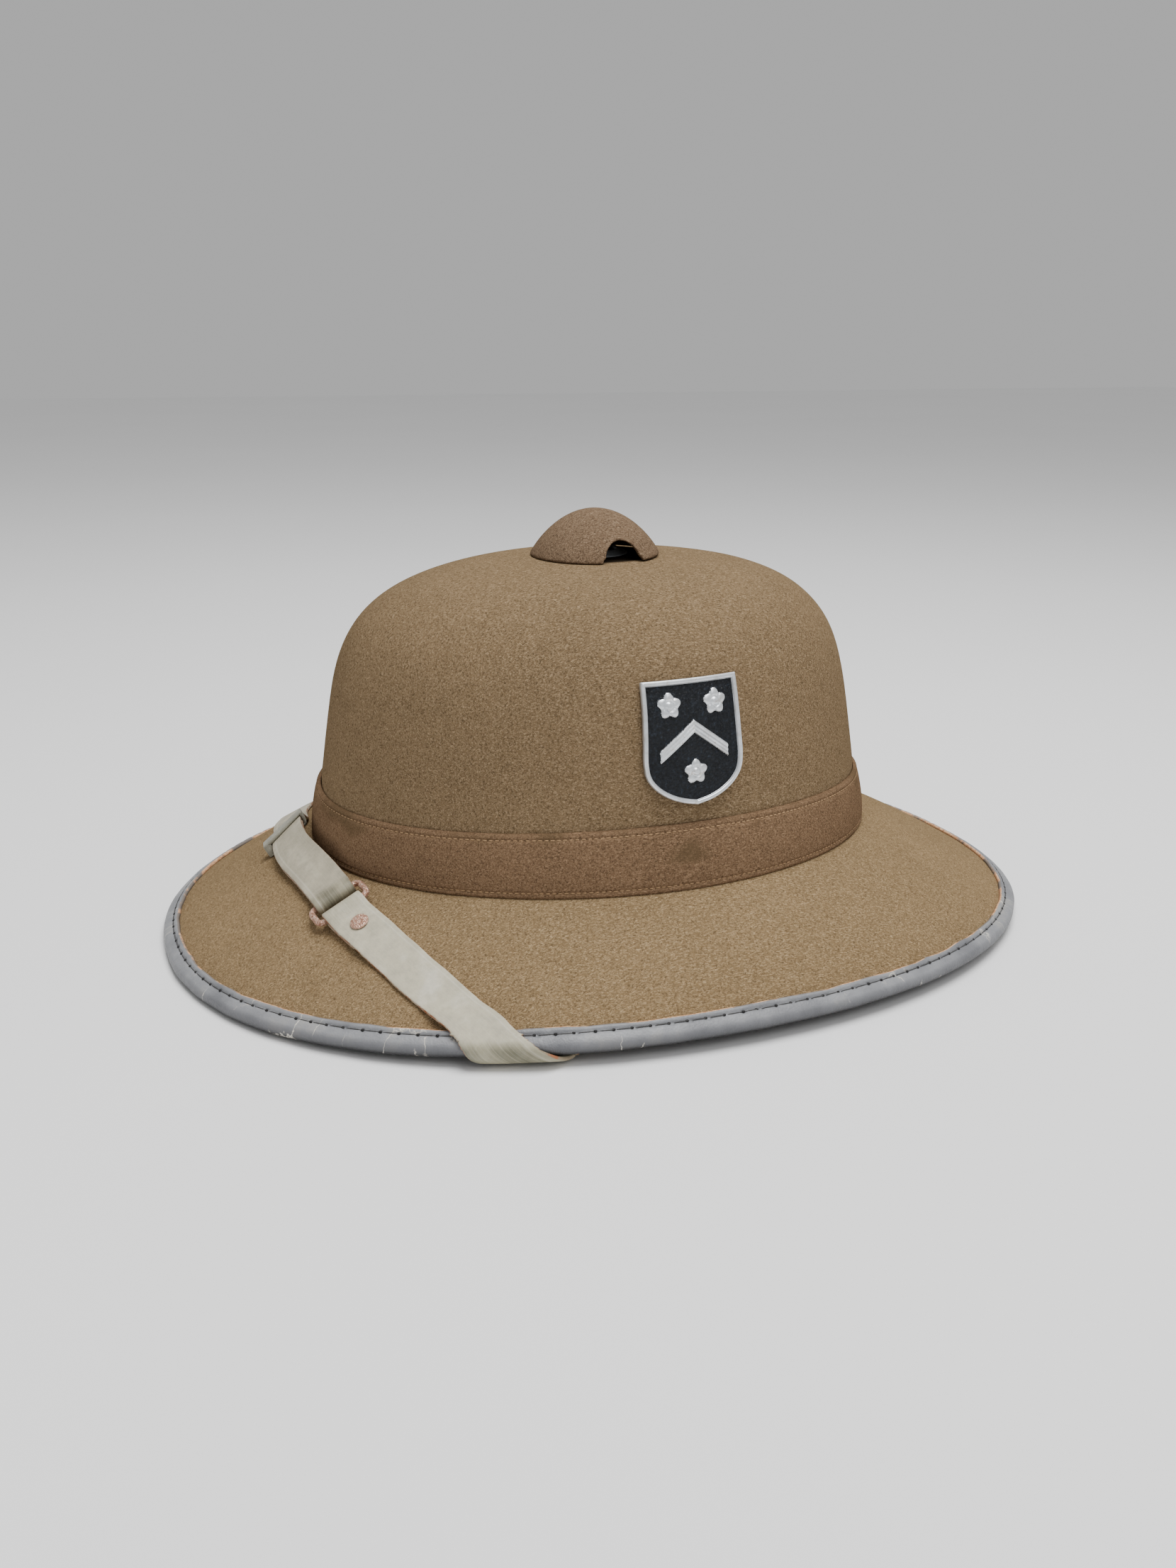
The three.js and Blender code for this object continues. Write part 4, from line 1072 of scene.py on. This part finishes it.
def make_eyelet():
    a = turns(CAP_AROUND)
    outer = HOLE_DIAMETER / 2 - GAP
    flange = EYELET_FLANGE
    # Distance out from the tube, height above the crown.
    rows = [
        (-EYELET_WALL, -CROWN_WALL - GAP),
        (0, -CROWN_WALL - GAP),
        (0, GAP),
        (flange, GAP),
        (flange + 0.1, GAP + 0.2),
        (flange, GAP + 0.4),
        (flange * 0.7, GAP + 0.6),
        (flange * 0.45, GAP + 1.2),
        (flange * 0.2, GAP + 1.8),
        (0, GAP + 2.1),
        (-EYELET_WALL * 0.6, GAP + 1.8),
        (-EYELET_WALL, GAP + 1),
    ]
    section = [top_point(a, outer + out, lift) for out, lift in rows]
    eyelet = loft("vent_eyelet", round_loops(section))
    place(eyelet, eyelet_look, "eyelet_metal", "vent_ring")
    # Painted shade: the inside of the tube gets the near-black hole material.
    marks = np.zeros((len(a), len(section)), dtype=np.int32)
    marks[:, [0, -1]] = 1
    second_look(eyelet, hole_shade_look, marks)


# Badge

def on_side(right, up, out):
    turn = math.radians(BADGE_TURN)
    y = BADGE_Y + right * math.cos(turn) - up * math.sin(turn)
    z = BADGE_Z + right * math.sin(turn) + up * math.cos(turn)
    rise = (z - SHOULDER_HEIGHT - CROWN_TILT * (y - CROWN_Y) * 0.4) / CROWN_RISE
    a, _ = crown_ring(rise)
    angle = np.arccos((CROWN_Y - CROWN_LEAN * rise - y) / a)
    return crown_at(angle, rise, BADGE_STAND + out)


# Smooth closed shield outline as count points, clockwise from the top middle.
def shield_outline(count):
    rows = np.asarray(SHIELD_ROWS, float)
    fine = np.linspace(0, 1, 200)
    knots = np.linspace(0, 1, len(rows))
    spline = np.stack([catmull(knots, rows[:, 0], fine), catmull(knots, rows[:, 1], fine)], -1)
    side = np.stack([spline[:, 1] * BADGE_WIDTH / 2, BADGE_HEIGHT * (0.5 - spline[:, 0])], -1)
    top = np.stack([np.linspace(0, side[0, 0], 40)[:-1], np.full(39, side[0, 1])], -1)
    right = np.vstack([top, side])
    whole = np.vstack([right, (right * [-1, 1])[::-1][1:-1]])
    closed = np.vstack([whole, whole[:1]])
    run = runs(closed)
    want = np.linspace(0, run[-1], count, endpoint=False)
    return np.stack([np.interp(want, run, closed[:, 0]), np.interp(want, run, closed[:, 1])], -1)


# Smooth curve through values at evenly spaced knots.
def catmull(knots, values, x):
    i = np.clip(np.searchsorted(knots, x, side="right") - 1, 0, len(knots) - 2)
    t = (x - knots[i]) / (knots[i + 1] - knots[i])
    before, after = np.maximum(i - 1, 0), np.minimum(i + 2, len(knots) - 1)
    p0, p1, p2, p3 = values[before], values[i], values[i + 1], values[after]
    v0, v1 = (p2 - p0) / 2, (p3 - p1) / 2
    return (2 * p1 - 2 * p2 + v0 + v1) * t**3 + (-3 * p1 + 3 * p2 - 2 * v0 - v1) * t**2 + v0 * t + p1


# Height of the relief above the field, in millimetres.
def relief(right, up):
    height = np.zeros_like(right)
    for x, y in ROSETTES:
        dx, dy = right - x, up - y
        radius = np.hypot(dx, dy)
        turn = np.arctan2(dx, dy)
        petal = 4.0 * (1 + 0.12 * np.cos(5 * turn))
        dome = ease(petal - radius, 0, 0.55) * (0.62 + 0.38 * ease(petal - radius, 0.3, 1.5))
        off_vein = np.abs(((turn + math.pi / 5) * 5 / 2 / math.pi) % 1 - 0.5) - 0.5
        vein = 0.28 * np.exp(-((off_vein * 7) ** 2))
        dip = 0.55 * np.exp(-(((radius - 1.55) / 0.38) ** 2))
        button = 0.25 * ease(1.25 - radius, 0, 0.5)
        flower = dome - vein * ease(radius, 1.2, 2.4) - dip + button
        height = np.maximum(height, np.clip(flower, 0, 1.3) * BADGE_RELIEF)
    chevron = 5.5 - np.abs(right) * 0.75
    off = np.abs(up - chevron) * 0.8
    bar = ease(1.85 - off, 0, 0.5) - 0.42 * ease(1.0 - off, 0, 0.35) + 0.34 * ease(0.42 - off, 0, 0.3)
    ends = ease(12.6 - np.abs(right), 0, 0.6)
    return np.maximum(height, np.clip(bar * ends, 0, 1) * BADGE_RELIEF)


def make_badge():
    outline = shield_outline(BADGE_AROUND)
    ahead = unit(np.roll(outline, -1, 0) - np.roll(outline, 1, 0))
    inward = np.stack([ahead[:, 1], -ahead[:, 0]], -1)
    rim_in = outline + inward * BADGE_RIM_WIDTH
    loops = [on_side(*(outline * 0.5).T, 0.0), on_side(*outline.T, 0.0)]
    loops += [on_side(*(outline + inward * inset).T, out) for inset, out in BADGE_RIM_ROWS]
    first = len(loops) - 1
    shares = np.linspace(1, 0.02, BADGE_RINGS)
    rng = np.random.default_rng(6)
    for share in shares[1:]:
        flat = rim_in * share
        raised = relief(flat[:, 0], flat[:, 1])
        pebble = 0.05 * rng.normal(size=BADGE_AROUND) * (raised < 0.02) * ease(share, 0.15, 0.6)
        loops.append(on_side(*flat.T, BADGE_FIELD + raised + pebble))
    zero = np.zeros(1)
    tips = np.array([on_side(zero, zero, out)[0] for out in (0.0, BADGE_FIELD)])
    badge = loft("badge_shield_cast", np.asarray(loops), tips)
    place(badge, silver_look, "badge_metal", "badge_shield")
    # The low parts of the field are black.
    marks = np.zeros(len(badge.data.polygons), dtype=np.int32)
    for k in range(BADGE_RINGS - 1):
        flat = (rim_in + np.roll(rim_in, -1, 0)) / 2 * ((shares[k] + shares[k + 1]) / 2)
        begin = (first + k) * BADGE_AROUND
        marks[begin : begin + BADGE_AROUND] = relief(flat[:, 0], flat[:, 1]) < 0.3
    marks[-2 * BADGE_AROUND :] = 1
    second_look(badge, black_look, marks)


# Chin strap

# Share of the brim at which a strap's middle lies when its edge touches the band.
def hug_share(angle):
    return brim_share(angle, band_low(angle) + GAP + STRAP_WIDTH * 0.46, BRIM_WALL / 2)


# Face that the straps lie on. Place 0 is beside the band, 1 is the rim's top, 2 is its underside,
# 3 is the foot of the crown, and from 3.2 to 4 the face climbs the inside of the crown.
def strap_face(angle, where):
    angle, where = np.broadcast_arrays(np.asarray(angle, float), np.asarray(where, float))
    hug = hug_share(angle)
    share = hug + where * (1 - hug)
    span = np.linalg.norm(brim_foot(angle) - brim_rim(angle), axis=-1)
    over = 1 - ease((1 - share) * span, BINDING_LEG + 0.5, BINDING_LEG + 9)
    top = brim_at(angle, share, mix(BRIM_WALL / 2, ROLL + STRAP_STAND, over))
    roll = rim_turn(angle, ROLL + STRAP_STAND, 90 - 180 * np.clip(where - 1, 0, 1))
    slope = 90 - np.degrees(np.arccos(np.minimum(brim_up(angle, 1.0)[..., 2], 1)))
    radius = CROWN_WALL / 2 + STRAP_STAND
    start = rim_turn(angle, ROLL + STRAP_STAND, -90.0)
    t = np.clip(where - 2, 0, 1)[..., None]
    under = start * (1 - t) + foot_turn(angle, slope, radius) * t
    bend = foot_turn(angle, slope * (1 - np.clip((where - 3) / 0.2, 0, 1)), radius)
    climb = np.maximum((where - 3.2) / 0.8, 0)
    z = seat_at(angle) - FOOT_DROP + CROWN_WALL / 2 + ANCHOR_RISE * climb
    wall = crown_at_height(angle, z, np.full(np.shape(z), -CROWN_WALL - STRAP_STAND))
    out = top
    for limit, face in ((1, roll), (2, under), (3, bend), (3.2, wall)):
        out = np.where((where > limit)[..., None], face, out)
    return out


def strap_up(angle, where):
    step = 0.004
    side = strap_face(angle + step, where) - strap_face(angle - step, where)
    outward = strap_face(angle, where + step) - strap_face(angle, where - step)
    return unit(np.cross(outward, side))


# Places along the face and rough lengths to them, so that a route bends evenly.
PLACES = np.array([-1, 0, 1, 2, 3, 3.2, 4])
SPAN = np.linalg.norm(brim_foot(math.pi / 3) - brim_rim(math.pi / 3))
PLACE_STEPS = np.array([SPAN, SPAN, math.pi * ROLL, SPAN, math.pi / 2 * CROWN_WALL, ANCHOR_RISE])
PLACE_RUNS = np.cumsum([-SPAN, *PLACE_STEPS])
PLACE_RATES = PLACE_STEPS / np.diff(PLACES)


def place_rate(where):
    return PLACE_RATES[np.clip(np.searchsorted(PLACES, where) - 1, 0, len(PLACE_RATES) - 1)]


class Way:
    """Route of a strap: rows of angle and place, measured along the face."""

    def __init__(self, rows):
        rows = np.asarray([(math.radians(a), p) for a, p in rows])
        knots = np.arange(len(rows), dtype=float)
        x = np.linspace(0, len(rows) - 1, 1400)
        reach = catmull(knots, np.interp(rows[:, 1], PLACES, PLACE_RUNS), x)
        self.samples = np.stack([catmull(knots, rows[:, 0], x), np.interp(reach, PLACE_RUNS, PLACES)], -1)
        face = strap_face(self.samples[:, 0], self.samples[:, 1])
        self.run = runs(face)
        self.total = self.run[-1]

    def spot(self, distance):
        distance = np.clip(distance, 0, self.total)
        return np.stack([np.interp(distance, self.run, self.samples[:, k]) for k in (0, 1)], -1)

    def distance_to(self, where):
        return self.run[np.argmax(self.samples[:, 1] >= where)]

    def station(self, distance):
        return {key: value[0] for key, value in self.stations([distance]).items()}

    def stations(self, distances):
        distances = np.asarray(distances, float)
        spots = self.frames(distances)
        near = [self.frames(distances + shift)["slant"] for shift in (-3, -1.5, 1.5, 3)]
        spots["slant"] = (spots["slant"] + sum(near)) / (1 + len(near))
        return spots

    def frames(self, distances):
        here = self.spot(distances)
        angle, where = here.T
        up = strap_up(angle, where)
        small = 0.003
        turning = (strap_face(angle + small, where) - strap_face(angle - small, where)) / (2 * small)
        moving = (strap_face(angle, where + small) - strap_face(angle, where - small)) / (2 * small)
        step = self.spot(distances + 3) - self.spot(distances - 3)
        ends = [np.interp(self.spot(distances + s)[:, 1], PLACES, PLACE_RUNS) for s in (-3, 3)]
        rate = place_rate(where)
        ahead = (ends[1] - ends[0]) / rate
        forward = unit(turning * step[:, :1] + moving * ahead[:, None])
        across = unit(np.cross(up, forward))
        level = unit(turning) * np.sign(dot(turning, across))[..., None]
        t = ease(where, 0.6, 0.95)[..., None]
        line = unit(across * (1 - t) + level * t)
        line = line / dot(line, across)[..., None]
        tt, tm, mm = dot(turning, turning), dot(turning, moving), dot(moving, moving)
        lt, lm = dot(line, turning), dot(line, moving)
        square = tt * mm - tm * tm
        slant = np.stack([(lt * mm - lm * tm) / square, (lm * tt - lt * tm) / square * rate], -1)
        point = strap_face(angle, where)
        return dict(here=here, point=point, forward=forward, up=up, across=across, slant=slant)


def strap_points(spots, side, lift):
    """Points (stations, n, 3) at side offsets and lifts above the face, each (stations, n)."""
    here, slant = spots["here"], spots["slant"]
    inner = np.where((spots["across"][:, 1] > 0) & (here[:, 1] < 1), 1, -1)
    lean = STRAP_LEAN * (1 - ease(np.abs(here[:, 0]), math.radians(10), math.radians(23)))
    extra = lean[:, None] * (inner[:, None] * side / STRAP_WIDTH + 0.5)
    side = side * np.sqrt(1 - (lean[:, None] / STRAP_WIDTH) ** 2)
    angle = here[:, :1] + slant[:, :1] * side
    reach = np.interp(here[:, 1], PLACES, PLACE_RUNS)[:, None] + slant[:, 1:] * side
    where = np.interp(reach, PLACE_RUNS, PLACES)
    return strap_face(angle, where) + strap_up(angle, where) * (lift + np.maximum(extra, 0))[..., None]


# Section of the strap: (side, depth from the inner skin), rounded at both edges.
def strap_section():
    half, wall = STRAP_WIDTH / 2, STRAP_WALL
    edge = [(half - 0.1, 0.12), (half, 0.4), (half, wall - 0.5)]
    edge += [(half - 0.12, wall - 0.18), (half - 0.45, wall - 0.02)]
    points = [(x, 0.0) for x in np.linspace(-half + 0.35, half - 0.35, 9)]
    points += edge
    points += [(x, wall) for x in np.linspace(half - 0.9, -half + 0.9, 11)]
    points += [(-x, depth) for x, depth in edge[::-1]]
    return np.asarray(points)


right_way = Way(STRAP_ROWS)
left_way = Way([STRAP_ROWS[0]] + FRONT_ROWS + [(-a, p) for a, p in STRAP_ROWS])
ring_spot = right_way.station(0.0)
ring_centre = ring_spot["point"] + ring_spot["up"] * BAR_LIFT
clip_at = CLIP_DISTANCE - RING_REACH
clip_seat = GAP + CLIP_WALL + GAP


# One strap: its upper run, its fold round a bar of the ring and its tail below.
def make_strap(name, way, side, tail_end, under, joined, look, node, creases, fold_shade_amount):
    section = strap_section()
    start, doubled = RING_REACH, STRAP_WALL + GAP

    def upper(x):
        near_bar = mix(BAR_LIFT + WRAP_INNER, under(x) + doubled, ease(x, 0, joined))
        return mix(near_bar, GAP, ease(x, tail_end + 1, tail_end + 12))

    stops = np.arange(1.2, way.total - start, 1.2)
    roll = np.linspace(way.distance_to(1) - start - 4, way.distance_to(2) - start + 4, 60)
    foot = np.linspace(way.distance_to(2.98) - start, way.distance_to(3.22) - start, 10)
    stops = np.unique(np.concatenate([stops, roll, foot, [way.total - start]]))
    stops = stops[np.concatenate([[True], np.diff(stops) > 0.15])]
    spots = way.stations(start + stops)
    sides = np.broadcast_to(section[:, 0], (len(stops), len(section)))
    crease = creases(stops)[:, None] * (section[:, 1] > STRAP_WALL * 0.8)
    top = strap_points(spots, sides, upper(stops)[:, None] + section[:, 1] + crease)
    tail_stops = np.arange(1.2, tail_end + 0.1, 1.4)
    tail_spots = way.stations(start + tail_stops)
    tail_sides = np.broadcast_to(section[:, 0], (len(tail_stops), len(section)))
    tail = strap_points(tail_spots, tail_sides, under(tail_stops)[:, None] + STRAP_WALL - section[:, 1])
    centre = ring_centre + ring_spot["forward"] * side * RING_REACH
    fold = []
    for turn in np.radians(np.linspace(90, -90, 19)):
        ray = -side * ring_spot["forward"] * math.cos(turn) + ring_spot["up"] * math.sin(turn)
        radius = WRAP_INNER + section[:, 1:]
        fold.append(centre + ray * radius + ring_spot["across"] * side * section[:, :1])
    loops = np.concatenate([top[::-1], np.asarray(fold), tail])
    run = runs(loops.mean(1))
    uvs = np.stack(np.broadcast_arrays(section[None, :, 0], run[:, None]), -1)
    tips = np.array([loops[0].mean(0), loops[-1].mean(0)])
    obj = loft(name, loops, tips, uvs)
    where = spots["here"][:, 1]
    # Painted shade for the leather where the strap turns round the rim, and near and on its fold round the
    # ring.
    on_roll = ease(where, 0.9, 1.25) * (1 - ease(where, 2, 2.2))
    near_ring = (1 - ease(stops, 1, 7)) * fold_shade_amount
    fold_shade = np.concatenate([
        np.maximum(on_roll, near_ring)[::-1],
        np.full(len(fold), fold_shade_amount),
        np.zeros(len(tail)),
    ])
    values = np.concatenate([np.repeat(fold_shade, loops.shape[1]), [0, 0]])
    obj.data.attributes.new("fold_shade", "FLOAT", "POINT").data.foreach_set("value", values)
    return place(obj, look, "strap_leather", node)


def short_creases(x):
    return 0.03 * np.sin(x * 0.55) * np.sin(x * 0.21 + 1)


# The long strap wrinkles where it turns round the ring.
def long_creases(x):
    near = 1 - ease(x, 6, 15)
    return near * (0.16 * np.sin(x * 1.9) * ease(x, 0.5, 2.5)) + 0.05 * np.sin(x * 0.4)


# Height of each tail's inner skin above the face.
def short_under(x):
    return np.full(np.shape(x), GAP)


def long_under(x):
    return mix(GAP, clip_seat, ease(x, clip_at * 0.4, clip_at - 6))


def make_straps():
    make_strap("chin_strap_short", right_way, 1, TAIL_LENGTH, short_under, RIVET_DISTANCE - 4,
               strap_short_look, "strap_short", short_creases, 0.3)
    make_strap("chin_strap_long", left_way, -1, clip_at + CLIP_LENGTH, long_under, 10,
               strap_long_look, "strap_long", long_creases, 0.9)


# Section of the clip: a box with corners of radius r.
def box_loop(x0, x1, z0, z1, r):
    points = []
    corners = [(x1 - r, z1 - r, 0), (x0 + r, z1 - r, 90), (x0 + r, z0 + r, 180), (x1 - r, z0 + r, 270)]
    for x, z, begin in corners:
        for part in (0, 30, 60, 90):
            t = math.radians(begin + part)
            points.append((x + r * math.cos(t), z + r * math.sin(t)))
    return np.asarray(points)


def make_clip():
    ends = left_way.stations([CLIP_DISTANCE + s * CLIP_LENGTH / 2 for s in (-1, -0.92, 0.92, 1)])
    high = clip_seat + 2 * STRAP_WALL + GAP
    side = STRAP_WIDTH / 2 + GAP
    toward = 1 if ends["across"][0][1] < 0 else -1
    wide = np.array([-side - CLIP_WALL, side + CLIP_WALL])
    wide[(toward + 1) // 2] += toward * CLIP_TAB
    low, top = clip_seat - GAP - CLIP_WALL, high + GAP + CLIP_WALL
    outer = box_loop(*wide, low, top, 0.7)
    small = box_loop(wide[0] + 0.12, wide[1] - 0.12, low + 0.12, top - 0.12, 0.6)
    inner = box_loop(-side, side, clip_seat - GAP, high + GAP, 0.25)
    rows = []
    order = [(0, small), (1, outer), (2, outer), (3, small), (3, inner), (0, inner)]
    for k, loop in order:
        spots = {key: value[k : k + 1] for key, value in ends.items()}
        rows.append(strap_points(spots, loop[None, :, 0], loop[None, :, 1])[0])
    place(loft("strap_clip_plate", np.asarray(rows)), clip_look, "clip_metal", "strap_clip")


def make_ring():
    half_wide = (RING_INNER + RING_WIRE) / 2
    loops = []
    for ahead, across, begin in ((1, 1, 0), (-1, 1, 90), (-1, -1, 180), (1, -1, 270)):
        for part in np.linspace(0, 90, 8):
            turn = math.radians(begin + part)
            ray = ring_spot["forward"] * math.cos(turn) + ring_spot["across"] * math.sin(turn)
            centre = ring_centre + ring_spot["forward"] * ahead * (RING_REACH - RING_CORNER)
            centre = centre + ring_spot["across"] * across * (half_wide - RING_CORNER) + ray * RING_CORNER
            spin = turns(20)[:, None]
            loops.append(centre + (ray * np.cos(spin) + ring_spot["up"] * np.sin(spin)) * RING_WIRE / 2)
    loops = np.asarray(loops)
    # The straight sides get more loops, so that dents can be even.
    dense = []
    for i in range(len(loops)):
        nxt = loops[(i + 1) % len(loops)]
        parts = 14 if i % 8 == 7 else 1
        dense += [loops[i] * (1 - k / parts) + nxt * k / parts for k in range(parts)]
    dense = np.asarray(dense)
    core = dense.mean(1, keepdims=True)
    rng = np.random.default_rng(9)
    rough = 1 + 0.02 * rng.normal(size=dense.shape[:2])
    dense = core + (dense - core) * rough[..., None]
    place(loft("strap_wire_ring", dense), copper_look, "copper_metal", "strap_ring")


# Rivet turned from rows of radius and height, dented above its fourth row.
def pin(name, spot, rows, count, dents=0.0, seed=1):
    rng = np.random.default_rng(seed)
    spin = turns(count)[:, None]
    ring = spot["forward"] * np.cos(spin) + spot["across"] * np.sin(spin)
    loops = []
    for radius, lift in rows:
        bump = rng.normal(size=count) * dents * (lift > rows[3][1])
        loops.append(spot["point"] + ring * radius + spot["up"] * (lift + bump)[:, None])
    tips = np.array([spot["point"] + spot["up"] * rows[end][1] for end in (0, -1)])
    return loft(name, loops, tips)


def make_pins():
    spot = right_way.station(RING_REACH + RIVET_DISTANCE)
    base = 3 * GAP + 2 * STRAP_WALL
    half = RIVET_HEAD / 2
    rows = [(1.25, GAP), (1.25, base), (half - 0.1, base), (half, base + 0.12), (half, base + 0.3)]
    for s in (0.97, 0.9, 0.8, 0.68, 0.55, 0.4, 0.25, 0.1):
        rows.append((half * s, base + 0.3 + 0.42 * math.sqrt(1 - s * s)))
    place(pin("strap_rivet_head", spot, rows, 44, 0.045, 5), copper_look, "copper_metal", "strap_rivet")
    for name, way in (("left", right_way), ("right", left_way)):
        spot = way.station(way.total - ANCHOR_HEAD)
        base = 2 * GAP + STRAP_WALL
        half = ANCHOR_HEAD / 2
        rows = [(1.3, -CROWN_WALL - STRAP_STAND), (1.3, base), (half - 0.15, base), (half, base + 0.3)]
        rows += [(half - 0.2, base + 0.6), (half * 0.7, base + 0.95), (half * 0.3, base + 1.05)]
        obj = pin("inner_rivet_" + name, spot, rows, 36)
        place(obj, anchor_look, "anchor_metal", "strap_anchor_" + name)


make_crown()
make_brim()
make_band()
make_band_stitches()
make_binding()
make_cap()
make_eyelet()
make_badge()
make_straps()
make_clip()
make_ring()
make_pins()


# Stage, light and camera

def make_stage():
    corners = [(-1, -1), (1, -1), (1, 1), (-1, 1)]
    verts = [(x * FLOOR_HALF, y * FLOOR_HALF, FLOOR_Z) for x, y in corners]
    floor = new_object("floor", verts, [[0, 1, 2, 3]])
    n = Nodes("floor_white")
    tone = n.greys(n.noise(n.coords(), 3, 2, 0.5), [(0.3, 0.932), (0.7, 0.948)])
    floor.data.materials.append(n.finish(tone, 0.9))
    world = bpy.data.worlds.new("studio")
    bpy.context.scene.world = world
    world.use_nodes = True
    sky = world.node_tree.nodes["Background"]
    sky.inputs["Color"].default_value = (*WHITE, 1)
    sky.inputs["Strength"].default_value = WORLD_STRENGTH


def add_light(name, place_m, target, size, power):
    data = bpy.data.lights.new(name, "AREA")
    data.shape = "DISK"
    data.size = size
    data.energy = power
    light = bpy.data.objects.new(name, data)
    light.location = place_m
    light.rotation_mode = "QUATERNION"
    light.rotation_quaternion = (Vector(target) - Vector(place_m)).to_track_quat("-Z", "Y")
    bpy.context.scene.collection.objects.link(light)


def make_camera():
    azimuth, elevation = math.radians(CAMERA_AZIMUTH), math.radians(CAMERA_ELEVATION)
    back = Vector((
        math.sin(azimuth) * math.cos(elevation),
        -math.cos(azimuth) * math.cos(elevation),
        math.sin(elevation),
    ))
    data = bpy.data.cameras.new("camera")
    data.sensor_width = CAMERA_SENSOR
    data.lens = CAMERA_FOCUS / PHOTO_HEIGHT * CAMERA_SENSOR
    data.clip_start = 0.01
    camera = bpy.data.objects.new("camera", data)
    bpy.context.scene.collection.objects.link(camera)
    camera.location = (Vector(CAMERA_TARGET) + back * CAMERA_DISTANCE) * MM
    camera.rotation_mode = "QUATERNION"
    turn = Matrix.Rotation(math.radians(CAMERA_ROLL), 4, "Z").to_quaternion()
    camera.rotation_quaternion = (-back).to_track_quat("-Z", "Y") @ turn
    bpy.context.scene.camera = camera


make_stage()
for light_row in LIGHTS:
    add_light(*light_row)
make_camera()
